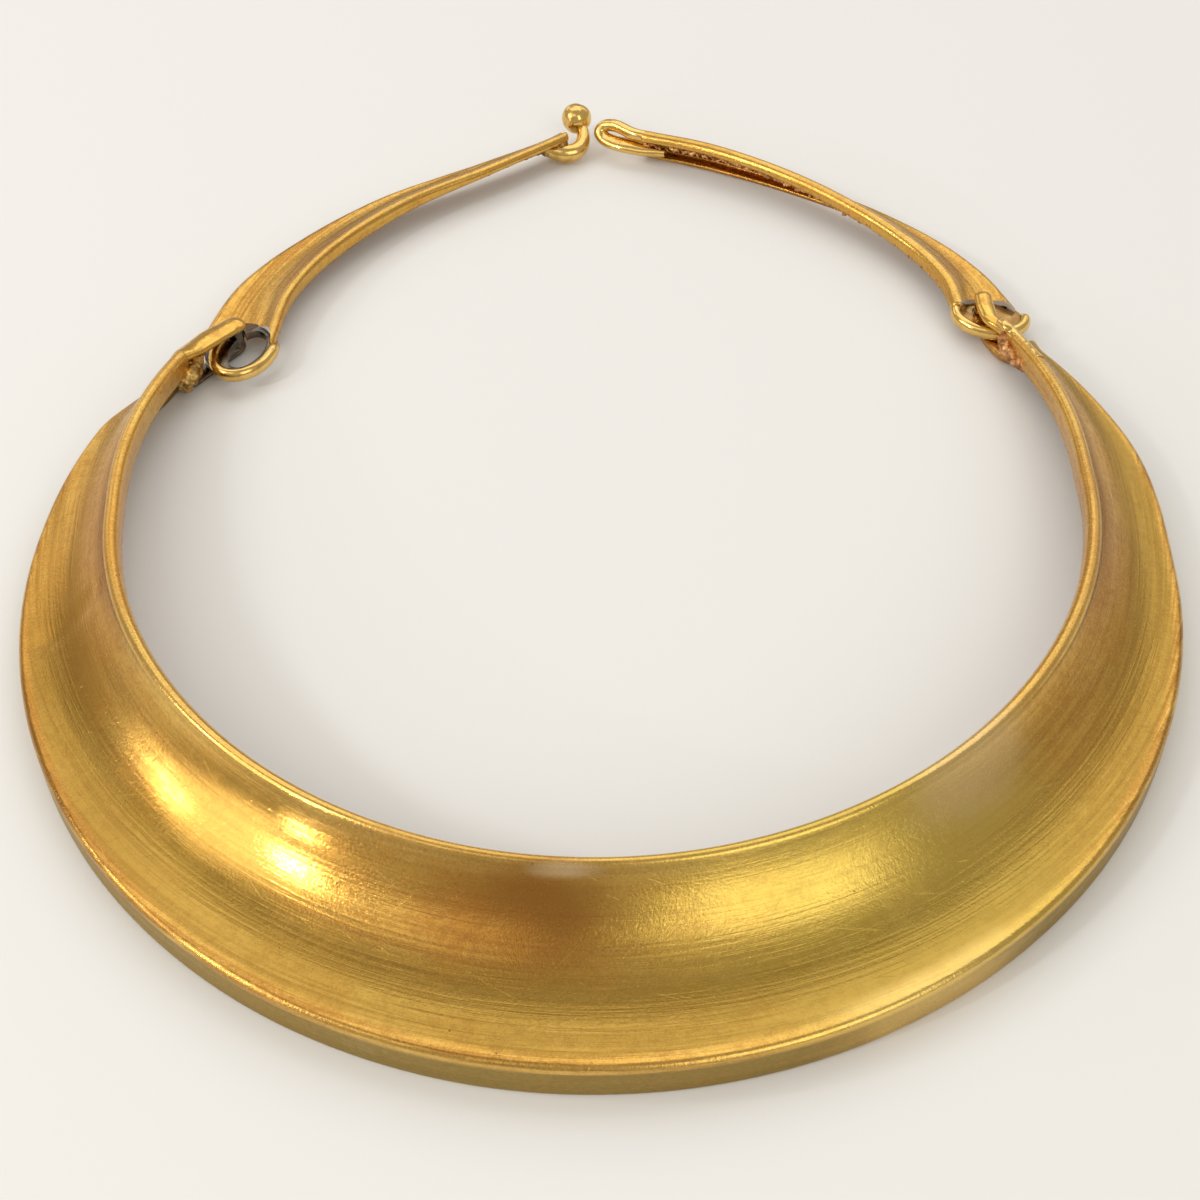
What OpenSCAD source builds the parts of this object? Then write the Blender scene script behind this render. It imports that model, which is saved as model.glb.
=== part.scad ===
// Collar necklace in sheet brass: a wide crescent front and two hinged back arms.
// Millimetres, Z up, lying flat on z = 0. The origin is the centre of the neck circle.
// The front of the collar points to -Y, the open clasp lies at +Y.

/* [Front collar] */
// Radius of the neck opening at the sides, measured to the top line of the rim
neck_radius = 61.8; // [60:0.1:62.4]
// How much further the rim stands from the centre at the middle of the front
front_ease = 0.7; // [0:0.1:1.5]
// Half width of the outer edge in plan, across the collar
edge_half_width = 71.7; // [70:0.1:76]
// Half length of the outer edge in plan, front to back
edge_half_length = 72.9; // [71:0.1:77]
// Distance that the outer edge is shifted towards the front
edge_shift = 8.8; // [7:0.1:11]
// Height of the rim at the middle of the front
rim_height = 13.5; // [12.5:0.1:16]
// How much the rim drops from the front to the ends
rim_drop = 7; // [5:0.1:8]
// Height of the outer crest at the front
crest_height = 5.2; // [4.4:0.1:6]
// How much the outer crest drops from the front to the ends
crest_drop = 1.2; // [0.4:0.1:1.6]
// Where the left end of the crescent stops, in degrees from the front
left_end_angle = 114; // [112:1:115]
// Where the right end of the crescent stops, in degrees from the front
right_end_angle = 121; // [118:1:122]

/* [Sheet] */
// Thickness of the collar sheet
collar_sheet = 1; // [0.8:0.05:1.1]
// Thickness of the arm sheet
arm_sheet = 0.8; // [0.7:0.05:0.9]
// Radius of the rolled rim of the collar
collar_rim_radius = 1.5; // [1.4:0.05:1.8]
// Radius of the rolled outer crest of the collar
collar_crest_radius = 1.8; // [1.6:0.05:2.1]
// Radius of both rolls at the two narrow ends of the collar
end_roll_radius = 1.2; // [1.2:0.05:1.35]
// Radius of the rolled rim of the arms
arm_rim_radius = 1.25; // [1.1:0.05:1.4]
// Radius of the rolled outer edge of the arms
arm_edge_radius = 0.95; // [0.95:0.05:1.1]
// Length of the plain lip below the rim on the neck side
rim_lip = 2; // [1:0.1:2.4]
// Radius of the hollow between rim and crest, as a share of their distance
hollow_ratio = 0.85; // [0.8:0.05:1.2]

/* [Hinges] */
// Half height of the wire that forms the eyes of the arms
eye_wire = 1; // [0.8:0.05:1]
// Half width of the flattened wire of the left eye
left_eye_band = 0.8; // [0.75:0.05:0.95]
// Half width of the wire of the right eye
right_eye_band = 0.8; // [0.75:0.05:0.95]
// Half width of the left eye, to the middle of its wire
left_eye_half_width = 4; // [3.9:0.1:4.2]
// Half length of the left eye, to the middle of its wire
left_eye_half_length = 5.6; // [5.5:0.1:5.8]
// Half width of the right eye, to the middle of its wire
right_eye_half_width = 4.95; // [4.85:0.05:5.05]
// Half length of the right eye, to the middle of its wire
right_eye_half_length = 3.8; // [3.7:0.1:3.9]
// Height of the middle of the eye wire
eye_height = 2.9; // [2.8:0.05:3]
// Half thickness of the tongues that hold the eyes
tongue_half_height = 0.78; // [0.7:0.02:0.8]
// Half width of the left tongue over the eye
left_tongue_half_width = 1.7; // [1.5:0.05:1.8]
// Half width of the right tongue over the eye
right_tongue_half_width = 1.3; // [1.2:0.05:1.4]

/* [Clasp] */
// Radius of the ball at the tip of the hook
ball_radius = 2.2; // [1.8:0.05:2.3]
// Radius of the hook wire
hook_wire = 1.15; // [0.9:0.05:1.2]
// Radius of the loop wire
loop_wire = 1; // [0.8:0.05:1.05]

/* [Hidden] */
// Angle between two stations of the collar sheet.
station_step = 3.2;
// Facets of each roll and of the hollow of a sheet section.
roll_facets = 5;
hollow_facets = 6;
// Stations between two rows of an arm table.
stations_per_row = 4;
// Facets of the hinge and clasp wires, and pieces round an eye.
wire_facets = 10;
eye_steps = 20;
// Facets of the ball.
ball_facets = 22;
brass = [0.80, 0.62, 0.30];

// The rim bends away from the neck towards both ends: where that starts, in degrees
// from the front, how far it goes in one span, and how steeply.
left_rim_flare_start = 82;
right_rim_flare_start = 92;
left_rim_flare = 2.3;
right_rim_flare = 3.5;
rim_flare_span = 25;
rim_flare_power = 1.3;
// The outer edge stands a little further out behind the shoulders.
left_edge_flare = 0.5;
right_edge_flare = 1.7;
edge_flare_start = 82;
edge_flare_end = 103;
// Where the sheet starts to narrow to its ends, and its width there from rim line to edge.
left_taper_start = 101;
right_taper_start = 117;
left_end_width = 2.3;
right_end_width = 3.6;
// Where both rolls start to get thinner towards the ends.
thinning_start = 78;
// Extra length of the lip below the rim at the ends.
end_lip = 0.6;
// Shape of the drop towards the ends.
drop_reach = 120;
drop_power = 3.2;

// Height of the middle of the top bar and of the bottom bar of a tongue.
tongue_top = 4.95;
tongue_bottom = 0.86;
// Radius of the standing leg, and how far the tip reaches past its middle.
leg_radius = 1.05;
tip_length = 1.5;
// Depth of the tongue root below the top line of the rim, and its span inside the collar end.
root_depth = 1.1;
root_span = 1.8;

// Middle of each eye and of the tongue leg that stands in it, in plan.
left_eye = [-52.1, 32.1];
left_pivot = [-53.8, 35.2];
left_heading = 74;
right_eye = [54.2, 41.8];
right_pivot = [53.1, 43.2];
right_heading = 72;

// Top bar of each tongue from the collar end to the leg, with the half width at each point.
left_tongue_heading = 58;
left_tongue_line = [
  [[-58.1, 29.25, 5.65], 1.35],
  [[-56.4, 32.0, 5.25], left_tongue_half_width],
  [[-54.8, 34.1, 5.0], left_tongue_half_width]
];
right_tongue_heading = 95;
right_tongue_line = [
  [[55.15, 36.2, 5.2], 1.2],
  [[53.7, 38.4, 5.1], 1.25],
  [[53.2, 41.2, 5.0], right_tongue_half_width]
];
// Bottom bar of each tongue from the leg to the collar end, with the half width at each point.
left_low_line = [
  [[-56.3, 31.8, 0.86], 1.1],
  [[-59.5, 27.2, 1.05], 1.3]
];
right_low_line = [
  [[54.5, 38.4, 0.86], 1.3],
  [[56.5, 35.0, 0.95], 1.5]
];

// Lumps of solder at both collar ends: middle and radius of each.
left_solder = [
  [[-57.9, 28.6, 4.3], 1.0],
  [[-58.7, 26.5, 3.9], 1.2],
  [[-59.5, 24.5, 4.0], 1.1],
  [[-60.6, 22.1, 4.4], 0.9]
];
right_solder = [
  [[54.8, 35.9, 5.0], 0.75],
  [[56.0, 33.7, 3.3], 1.3],
  [[57.2, 32.0, 3.3], 1.1],
  [[58.7, 30.0, 3.7], 0.9]
];

// Flat plate inside each eye: its middle, half length, half width, lowest and highest face.
left_plate = [[-53.0, 32.4], 5.6, 4.8, 2.0, 3.3];
right_plate = [[54.2, 41.9], 3.8, 4.9, 2.0, 2.7];
// Radius of the round hole for each leg, and the long hole in the left plate.
leg_hole = 1.35;
left_long_hole = [[-51.7, 32.0], 4.2, 2.35];

// Columns of the arm tables.
RIM_X = 0;
RIM_Y = 1;
RIM_Z = 2;
EDGE_X = 3;
EDGE_Y = 4;
EDGE_Z = 5;
RIM_LIP = 6;
EDGE_CURL = 7;
EDGE_LIP = 8;

// Rows run from the eye to the clasp: top line of the rim, outer edge, lips and curl.
left_rows = [
  [-49.0, 33.0, 4.1, -58.9, 34.2, 3.6, 0.5, 10, 0.4],
  [-47.4, 43.8, 5.2, -55.2, 46.8, 3.8, 1.4, 10, 1.4],
  [-42.3, 54.7, 5.3, -47.5, 58.4, 3.7, 1.6, 15, 1.4],
  [-33.0, 65.9, 5.3, -36.6, 69.4, 3.6, 1.6, 20, 1.2],
  [-21.2, 74.8, 5.2, -23.6, 78.2, 3.4, 1.6, 30, 1.0],
  [-12.0, 82.4, 5.0, -13.6, 85.2, 3.2, 1.2, 40, 0.8],
  [-8.8, 85.4, 4.8, -9.9, 88.0, 3.4, 0.6, 50, 0.4]
];
right_rows = [
  [49.9, 43.0, 4.2, 58.2, 43.1, 3.6, 0.5, 10, 0.4],
  [48.4, 48.6, 5.3, 54.2, 51.3, 3.8, 1.2, 15, 1.2],
  [44.0, 56.2, 5.5, 48.2, 59.5, 3.6, 1.2, 25, 1.2],
  [36.0, 65.0, 5.8, 39.3, 67.8, 3.3, 0.9, 45, 1.2],
  [26.0, 73.2, 6.0, 28.2, 75.9, 2.8, 0.5, 75, 1.3],
  [14.6, 80.0, 6.0, 15.8, 82.7, 2.5, 0.4, 85, 1.5],
  [3.2, 84.4, 5.7, 3.9, 87.0, 2.5, 0.4, 85, 1.4]
];

// Middle line of the hook wire, from the neck side of the left arm to its ball.
hook_line = [
  [-13.6, 83.2, 2.7],
  [-11.0, 83.6, 2.3],
  [-9.0, 83.4, 2.0],
  [-7.4, 83.9, 2.1],
  [-6.5, 85.3, 2.5],
  [-6.3, 87.1, 3.0],
  [-6.7, 88.8, 3.6]
];
ball_centre = [-7.4, 90.2, 4.2];

// Middle line of the loop wire, from the rim of the right arm round to its lower edge.
loop_line = [
  [4.7, 83.8, 4.7],
  [1.8, 84.9, 4.8],
  [-0.8, 87.0, 4.8],
  [-2.7, 87.8, 4.4],
  [-3.6, 87.4, 3.6],
  [-3.1, 86.4, 3.0],
  [-1.7, 85.1, 2.7],
  [1.0, 83.8, 2.6],
  [4.6, 82.9, 2.6]
];

// Curves.
// Smooth change from 0 to 1 while x runs from start to end.
function ease(x, start, end) =
  let(f = min(1, max(0, (x - start) / (end - start))))
  f * f * (3 - 2 * f);

// Value for the left or the right half of the collar, angles are negative on the left.
function side(angle, left, right) = angle < 0 ? left : right;

// Row of a table by number, continued in a straight line past both ends.
function table_row(rows, i) =
  i < 0 ? 2 * rows[0] - rows[1] :
  i >= len(rows) ? 2 * rows[len(rows) - 1] - rows[len(rows) - 2] :
  rows[i];

// Smooth curve through four neighbouring rows, f runs from 0 to 1 between b and c.
function smooth_step_rows(a, b, c, d, f) =
  b + f * ((c - a) / 2 + f * (a - 2.5 * b + 2 * c - 0.5 * d + f * (1.5 * (b - c) + 0.5 * (d - a))));

function smooth_row(rows, s) =
  let(i = min(floor(s), len(rows) - 2))
  smooth_step_rows(
    table_row(rows, i - 1), table_row(rows, i), table_row(rows, i + 1), table_row(rows, i + 2), s - i);

// Sheet section.
// The section lies in a vertical plane: u runs away from the neck, v runs up.
// Two rolls, joined by a hollow that touches both, each roll ends in a plain lip.
function ring_point(centre, radius, angle) = centre + radius * [cos(angle), sin(angle)];

// Middle of the hollow, at the given distances from the middles of the two rolls.
function hollow_centre(a, b, from_a, from_b) =
  let(
    gap = norm(b - a),
    along = (b - a) / gap,
    x = (gap * gap + from_a * from_a - from_b * from_b) / (2 * gap),
    y = sqrt(max(0, from_a * from_a - x * x))
  )
  a + x * along + y * [-along[1], along[0]];

// One face of the sheet, depth below the top face.
function face_points(rim_c, rim_r, edge_c, edge_r, hollow_c, hollow_r, lip, curl, edge_lip, depth) =
  let(
    rim_turn = atan2(hollow_c[1] - rim_c[1], hollow_c[0] - rim_c[0]),
    edge_turn = atan2(hollow_c[1] - edge_c[1], hollow_c[0] - edge_c[0]),
    rim_face = rim_r - depth,
    edge_face = edge_r - depth,
    hollow_face = hollow_r + depth,
    edge_end = ring_point(edge_c, edge_face, -curl)
  )
  concat(
    [ring_point(rim_c, rim_face, 180) - [0, lip]],
    [for (i = [0:roll_facets]) ring_point(rim_c, rim_face, 180 + (rim_turn - 180) * i / roll_facets)],
    [for (i = [1:hollow_facets - 1])
      ring_point(hollow_c, hollow_face, rim_turn + 180 + (edge_turn - rim_turn) * i / hollow_facets)],
    [for (i = [0:roll_facets])
      ring_point(edge_c, edge_face, edge_turn + (-curl - edge_turn) * i / roll_facets)],
    [edge_end + edge_lip * [-sin(curl), -cos(curl)]]
  );

// Both faces of the section: the top face first, then the underside in the same order.
function sheet_section(width, rim_z, edge_z, rim_r, edge_r, sheet, lip, curl, edge_lip) =
  let(
    rim_c = [0, rim_z - rim_r],
    edge_c = [width - edge_r, edge_z - edge_r],
    hollow_r = hollow_ratio * norm(edge_c - rim_c),
    hollow_c = hollow_centre(rim_c, edge_c, hollow_r + rim_r, hollow_r + edge_r)
  )
  concat(
    face_points(rim_c, rim_r, edge_c, edge_r, hollow_c, hollow_r, lip, curl, edge_lip, 0),
    face_points(rim_c, rim_r, edge_c, edge_r, hollow_c, hollow_r, lip, curl, edge_lip, sheet)
  );

// Section set up in space: foot is the plan point of the rim, out the direction away from the neck.
function placed(section, foot, out) =
  [for (p = section) [foot[0] + p[0] * out[0], foot[1] + p[0] * out[1], p[1]]];

// Plan and height of the collar, angles run from the front, negative to the left.
function outward(angle) = [sin(angle), -cos(angle)];
function end_share(angle) = pow(abs(angle) / drop_reach, drop_power);
function end_angle(angle) = side(angle, left_end_angle, right_end_angle);
function rim_top_at(angle) = rim_height - rim_drop * end_share(angle);
function rim_radius_at(angle) =
  let(past = max(0, abs(angle) - side(angle, left_rim_flare_start, right_rim_flare_start)))
  neck_radius + front_ease * pow(max(0, cos(angle)), 2)
  + side(angle, left_rim_flare, right_rim_flare) * pow(past / rim_flare_span, rim_flare_power);
function edge_radius_at(angle) =
  let(
    a = pow(sin(angle) / edge_half_width, 2) + pow(cos(angle) / edge_half_length, 2),
    b = -2 * edge_shift * cos(angle) / pow(edge_half_length, 2),
    c = pow(edge_shift / edge_half_length, 2) - 1
  )
  (-b + sqrt(b * b - 4 * a * c)) / (2 * a)
  + side(angle, left_edge_flare, right_edge_flare) * ease(abs(angle), edge_flare_start, edge_flare_end);

// Width of the sheet from the rim line to the outer edge.
function width_at(angle) =
  let(
    full = edge_radius_at(angle) - rim_radius_at(angle),
    narrowing = ease(abs(angle), side(angle, left_taper_start, right_taper_start), end_angle(angle))
  )
  full + (side(angle, left_end_width, right_end_width) - full) * narrowing;

// Radius of a roll, thinner towards the ends.
function roll_at(angle, radius) =
  radius + (end_roll_radius - radius) * ease(abs(angle), thinning_start, end_angle(angle));

function collar_station(angle) =
  let(
    edge_z = crest_height - crest_drop * end_share(angle),
    edge_r = roll_at(angle, collar_crest_radius)
  )
  placed(
    sheet_section(
      width_at(angle), rim_top_at(angle), edge_z, roll_at(angle, collar_rim_radius), edge_r,
      collar_sheet, rim_lip + end_lip * end_share(angle), 0, edge_z - edge_r),
    rim_radius_at(angle) * outward(angle), outward(angle));

function arm_station(rows, s) =
  let(
    row = smooth_row(rows, s),
    foot = [row[RIM_X], row[RIM_Y]],
    reach = [row[EDGE_X], row[EDGE_Y]] - foot
  )
  placed(
    sheet_section(
      norm(reach), row[RIM_Z], row[EDGE_Z], arm_rim_radius, arm_edge_radius, arm_sheet,
      row[RIM_LIP], row[EDGE_CURL], row[EDGE_LIP]),
    foot, reach / norm(reach));

// Building blocks.
// Closed skin over a list of sections with equal point counts.
module sheet_skin(stations, flip) {
  count = len(stations);
  size = len(stations[0]);
  half = size / 2;
  // Order of the points round the section: top face forward, underside backward.
  ring = concat([for (i = [0:half - 1]) i], [for (i = [0:half - 1]) size - 1 - i]);
  sides = [for (s = [0:count - 2]) for (i = [0:size - 1])
    let(
      p = s * size + ring[i],
      q = s * size + ring[(i + 1) % size]
    )
    each [[p, q + size, q], [p, p + size, q + size]]];
  caps = [for (i = [0:half - 2])
    let(
      p = i,
      q = i + 1,
      r = i + 1 + half,
      t = i + half,
      last = (count - 1) * size
    )
    each [[p, q, r], [p, r, t], [last + p, last + r, last + q], [last + p, last + t, last + r]]];
  faces = concat(sides, caps);
  polyhedron(
    points = [for (station = stations) each station],
    faces = flip ? [for (f = faces) [f[0], f[2], f[1]]] : faces,
    convexity = 8);
}

// Wire through a list of points, flattened where its half width is more than its radius.
module wire(points, radius, half_width) {
  for (i = [0:len(points) - 2]) {
    hull() {
      for (point = [points[i], points[i + 1]]) {
        translate(point) {
          scale([half_width, half_width, radius]) {
            sphere(r = 1, $fn = wire_facets);
          }
        }
      }
    }
  }
}

// Flattened end of a bar: a stop is a point and the half width there, across the heading.
module flat_end(stop, heading, half_length) {
  translate(stop[0]) {
    rotate([0, 0, heading]) {
      scale([half_length, stop[1], tongue_half_height]) {
        sphere(r = 1, $fn = wire_facets);
      }
    }
  }
}

// Flattened bar through a list of stops.
module flat_bar(stops, heading) {
  for (i = [0:len(stops) - 2]) {
    hull() {
      flat_end(stops[i], heading, tongue_half_height);
      flat_end(stops[i + 1], heading, tongue_half_height);
    }
  }
}

// Points of an oval in plan, turned so that its long side lies across the heading.
function oval(centre, half_along, half_across, heading, z) =
  [for (i = [0:eye_steps])
    let(
      along = half_along * cos(360 * i / eye_steps),
      across = half_across * sin(360 * i / eye_steps)
    )
    [
      centre[0] + along * cos(heading) - across * sin(heading),
      centre[1] + along * sin(heading) + across * cos(heading),
      z
    ]];

// Oval eye of wire, band is the half width of that wire.
module eye(centre, half_length, half_width, band, heading) {
  wire(oval(centre, half_length, half_width, heading, eye_height), eye_wire, band);
}

// Oval disc of one thickness, from its lowest to its highest face.
module oval_disc(centre, half_length, half_width, heading, low, high) {
  outline = oval(centre, half_length, half_width, heading, 0);
  translate([0, 0, low]) {
    linear_extrude(height = high - low) {
      polygon([for (i = [0:eye_steps - 1]) [outline[i][0], outline[i][1]]]);
    }
  }
}

// Free space inside an eye, through the whole height of the sheet.
module eye_hole(centre, half_length, half_width, band, heading) {
  oval_disc(centre, half_length - band, half_width - band, heading, -1, 9);
}

// Round hole for the standing leg of a tongue.
module round_hole(pivot) {
  translate([pivot[0], pivot[1], -1]) {
    cylinder(r = leg_hole, h = 10, $fn = eye_steps);
  }
}

// Point in the middle of the rolled rim, at an angle of the collar.
function rim_middle(angle) =
  [
    rim_radius_at(angle) * sin(angle),
    -rim_radius_at(angle) * cos(angle),
    rim_top_at(angle) - root_depth
  ];

// Closed tongue from the end of the collar, over the front of the eye, down through it and back.
module tongue(line, half_width, heading, pivot, low_line, angle) {
  root = rim_middle(angle);
  tip = [pivot[0], pivot[1], tongue_top];
  foot = [pivot[0], pivot[1], tongue_bottom];
  // The root follows the rolled rim for a few degrees, inside the sheet.
  start = rim_middle(angle - root_span * sign(angle));
  flat_bar(concat([[start, 0.95], [root, 1.05]], line), heading);
  hull() {
    flat_end(line[len(line) - 1], heading, tongue_half_height);
    flat_end([tip, half_width], heading, tip_length);
  }
  hull() {
    flat_end([tip - [0, 0, 0.3], leg_radius], heading, leg_radius);
    flat_end([foot + [0, 0, 0.05], leg_radius], heading, leg_radius);
  }
  flat_bar(concat([[foot, leg_radius]], low_line), heading);
  wire([root - [0, 0, 0.4], low_line[len(low_line) - 1][0] + [0, 0, 0.2]], 1, 1);
}

// Chain of solder lumps, each merged with the next.
module solder(lumps) {
  for (i = [0:len(lumps) - 2]) {
    hull() {
      for (lump = [lumps[i], lumps[i + 1]]) {
        translate(lump[0]) {
          sphere(r = lump[1], $fn = wire_facets);
        }
      }
    }
  }
}

// Pieces.
// Crescent of sheet between its two ends.
module crescent() {
  span = left_end_angle + right_end_angle;
  steps = ceil(span / station_step);
  sheet_skin([for (i = [0:steps]) collar_station(-left_end_angle + span * i / steps)], false);
}

module front_collar() {
  color(brass) {
    union() {
      crescent();
      tongue(
        left_tongue_line, left_tongue_half_width, left_tongue_heading,
        left_pivot, left_low_line, -left_end_angle);
      solder(left_solder);
      tongue(
        right_tongue_line, right_tongue_half_width, right_tongue_heading,
        right_pivot, right_low_line, right_end_angle);
      solder(right_solder);
    }
  }
}

// Sheet of an arm, with the eye and the leg kept free.
module arm_sheet_part(rows, flip, eye_centre, half_length, half_width, band, heading, pivot) {
  steps = stations_per_row * (len(rows) - 1);
  difference() {
    sheet_skin([for (i = [0:steps]) arm_station(rows, i / stations_per_row)], flip);
    eye_hole(eye_centre, half_length, half_width, band, heading);
    round_hole(pivot);
  }
}

// Hook that curls out from the neck side and ends in a ball.
module ball_hook() {
  wire(hook_line, hook_wire, hook_wire);
  translate(ball_centre) {
    sphere(r = ball_radius, $fn = ball_facets);
  }
}

// Loop that bends round from the rim to the lower edge.
module end_loop() {
  wire(loop_line, loop_wire, loop_wire);
}

module left_arm() {
  color(brass) {
    union() {
      arm_sheet_part(
        left_rows, true,
        left_eye, left_eye_half_length, left_eye_half_width, left_eye_band, left_heading, left_pivot);
      difference() {
        union() {
          eye(left_eye, left_eye_half_length, left_eye_half_width, left_eye_band, left_heading);
          oval_disc(left_plate[0], left_plate[1], left_plate[2], left_heading, left_plate[3], left_plate[4]);
        }
        round_hole(left_pivot);
        oval_disc(left_long_hole[0], left_long_hole[1], left_long_hole[2], left_heading, -1, 9);
      }
      ball_hook();
    }
  }
}

module right_arm() {
  color(brass) {
    union() {
      arm_sheet_part(
        right_rows, false,
        right_eye, right_eye_half_length, right_eye_half_width, right_eye_band, right_heading, right_pivot);
      difference() {
        union() {
          eye(right_eye, right_eye_half_length, right_eye_half_width, right_eye_band, right_heading);
          oval_disc(
            right_plate[0], right_plate[1], right_plate[2], right_heading, right_plate[3], right_plate[4]);
        }
        round_hole(right_pivot);
      }
      end_loop();
    }
  }
}

front_collar();
left_arm();
right_arm();
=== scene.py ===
# %% [markdown]
# # A hinged collar necklace in brass
#
# The necklace has three moving parts: a wide crescent of sheet brass for the front, and two narrow back
# arms that swing on wire eyes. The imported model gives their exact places. This script dresses them: it
# makes the same forms again with smooth curves, thin rounded edges, forged wires and solder, and then
# gives the metal its finish.

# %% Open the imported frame
import math

import bmesh
import bpy
import numpy as np
from mathutils import Matrix, Vector
from mathutils import noise as shape_noise


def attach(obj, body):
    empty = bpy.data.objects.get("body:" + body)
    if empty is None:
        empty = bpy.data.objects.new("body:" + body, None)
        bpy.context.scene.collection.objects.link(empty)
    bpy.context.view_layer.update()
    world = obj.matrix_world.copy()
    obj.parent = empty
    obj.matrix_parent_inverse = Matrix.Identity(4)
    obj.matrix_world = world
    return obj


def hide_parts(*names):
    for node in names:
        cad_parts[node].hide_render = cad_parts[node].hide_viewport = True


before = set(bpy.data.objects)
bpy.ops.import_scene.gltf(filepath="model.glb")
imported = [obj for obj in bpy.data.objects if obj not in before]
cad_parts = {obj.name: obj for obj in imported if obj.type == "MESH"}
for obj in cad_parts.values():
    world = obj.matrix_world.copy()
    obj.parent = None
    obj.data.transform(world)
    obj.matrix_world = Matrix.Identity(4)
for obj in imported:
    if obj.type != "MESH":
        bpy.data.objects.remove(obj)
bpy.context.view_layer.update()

MM = 0.001
scene = bpy.context.scene


def new_object(name, data):
    made = bpy.data.objects.new(name, data)
    scene.collection.objects.link(made)
    return made


def millimetres(*values):
    return tuple(v * MM for v in values)


# %% [markdown]
# ## Camera
#
# The camera stands in front of the collar and looks down at it, as in the photograph. Its direction,
# distance and small roll were found by matching the outlines of the solids to the picture. A camera can
# be aimed with a constraint, but a matrix made of its three axes is exact and keeps the roll.

# %% The camera
CAMERA_HEIGHT = 46.766      # degrees above the table
CAMERA_TURN = 3.1636        # degrees round from the front
CAMERA_ROLL = -1.3158       # degrees
CAMERA_DISTANCE = 229.86 * MM
CAMERA_TARGET = Vector((0.549, -19.417, 7.2)) * MM
FILM_WIDTH, LENS = 36.0, 57.0   # Blender counts both in millimetres
NEAREST, FARTHEST = 0.01, 20.0  # metres


def direction(turn, height):
    """Unit vector that points away from the middle: turn 0 is the front, height is above the table."""
    t, h = math.radians(turn), math.radians(height)
    return Vector((math.sin(t) * math.cos(h), -math.cos(t) * math.cos(h), math.sin(h)))


def photo_camera():
    back = direction(CAMERA_TURN, CAMERA_HEIGHT)
    right = Vector((0, 0, 1)).cross(back).normalized()
    up = back.cross(right)
    roll = math.radians(CAMERA_ROLL)
    right, up = (math.cos(roll) * right + math.sin(roll) * up,
                 math.cos(roll) * up - math.sin(roll) * right)
    data = bpy.data.cameras.new("photo_camera")
    data.sensor_width, data.lens = FILM_WIDTH, LENS
    data.clip_start, data.clip_end = NEAREST, FARTHEST
    camera = new_object("photo_camera", data)
    place = Matrix((right, up, back)).transposed().to_4x4()
    place.translation = CAMERA_TARGET + back * CAMERA_DISTANCE
    camera.matrix_world = place
    scene.camera = camera
    return camera


print("camera at", [round(v, 4) for v in photo_camera().matrix_world.translation])

# %% [markdown]
# ## Studio
#
# The floor is a plain pale sheet. Polished brass shows what stands round it, so the lights are chosen
# for what they look like in the metal: one wide soft box overhead, a warm window with three small
# bright panes on the left, a broad panel in front on either side, and lower panels behind. The middle
# of the front stays darker, as where a photographer stands, and the room is a dim warm grey.

# %% The floor and the lights
FLOOR_RADIUS, FLOOR_CORNERS, FLOOR_COLOUR = 2.5, 64, (0.865, 0.862, 0.855, 1)
ROOM_COLOUR, ROOM_STRENGTH = (1.0, 0.94, 0.85, 1), 0.50
LIGHTS_MIDDLE = Vector((0, -0.01, 0))
LIGHTS = [  # name, turn, height, distance, width, tall, radiance, colour; turn 90 is the right, -90 the left
    ("overhead", 180, 60, 1.0, 1.5, 0.55, 1.0),
    ("back_panel", 178, 36, 1.1, 0.6, 0.26, 1.3),
    ("left_window", -76, 34, 0.9, 0.46, 0.60, 1.45, (1.0, 0.98, 0.92)),
    ("left_pane_low", -88, 31, 0.8, 0.012, 0.07, 120),
    ("left_pane_mid", -61, 38, 0.8, 0.012, 0.10, 170),
    ("left_pane_edge", -55, 18, 0.8, 0.030, 0.020, 130),
    ("front_right_panel", 37, 38, 0.9, 0.52, 0.56, 1.55, (1.0, 1.0, 0.92)),
    ("front_left_panel", -36, 54, 0.9, 0.34, 0.34, 0.88, (1.0, 0.90, 0.80)),
    ("back_left_panel", -142, 22, 1.0, 0.45, 0.26, 0.95, (1.0, 0.98, 0.94)),
    ("back_right_panel", 150, 26, 1.0, 0.6, 0.26, 0.68)]


def pale_floor():
    mesh = bpy.data.meshes.new("floor")
    turns = [math.tau * i / FLOOR_CORNERS for i in range(FLOOR_CORNERS)]
    ring = [(FLOOR_RADIUS * math.cos(t), FLOOR_RADIUS * math.sin(t), 0) for t in turns]
    mesh.from_pydata(ring, [], [list(range(FLOOR_CORNERS))])
    paint = bpy.data.materials.new("floor_paper")
    paint.use_nodes = True
    shader = paint.node_tree.nodes["Principled BSDF"]
    shader.inputs["Base Color"].default_value = FLOOR_COLOUR
    shader.inputs["Roughness"].default_value = 0.9
    shader.inputs["Specular IOR Level"].default_value = 0.1
    mesh.materials.append(paint)
    new_object("floor", mesh)


def soft_light(name, turn, height, distance, width, tall, radiance, colour=(1, 1, 1)):
    """A rectangular soft box that faces the collar. Its radiance is what a mirror would show of it."""
    data = bpy.data.lights.new(name, "AREA")
    data.shape, data.size, data.size_y = "RECTANGLE", width, tall
    data.energy = radiance * width * tall * math.pi
    data.color = colour
    away = direction(turn, height)
    light = new_object(name, data)
    light.matrix_world = away.to_track_quat("Z", "Y").to_matrix().to_4x4()
    light.location = LIGHTS_MIDDLE + away * distance
    light.visible_camera = False


pale_floor()
scene.world = bpy.data.worlds.new("studio")
scene.world.use_nodes = True
room = scene.world.node_tree.nodes["Background"].inputs
room["Color"].default_value = ROOM_COLOUR
room["Strength"].default_value = ROOM_STRENGTH
scene.view_settings.view_transform = "Standard"
scene.view_settings.look = "None"
for row in LIGHTS:
    soft_light(*row)

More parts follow.
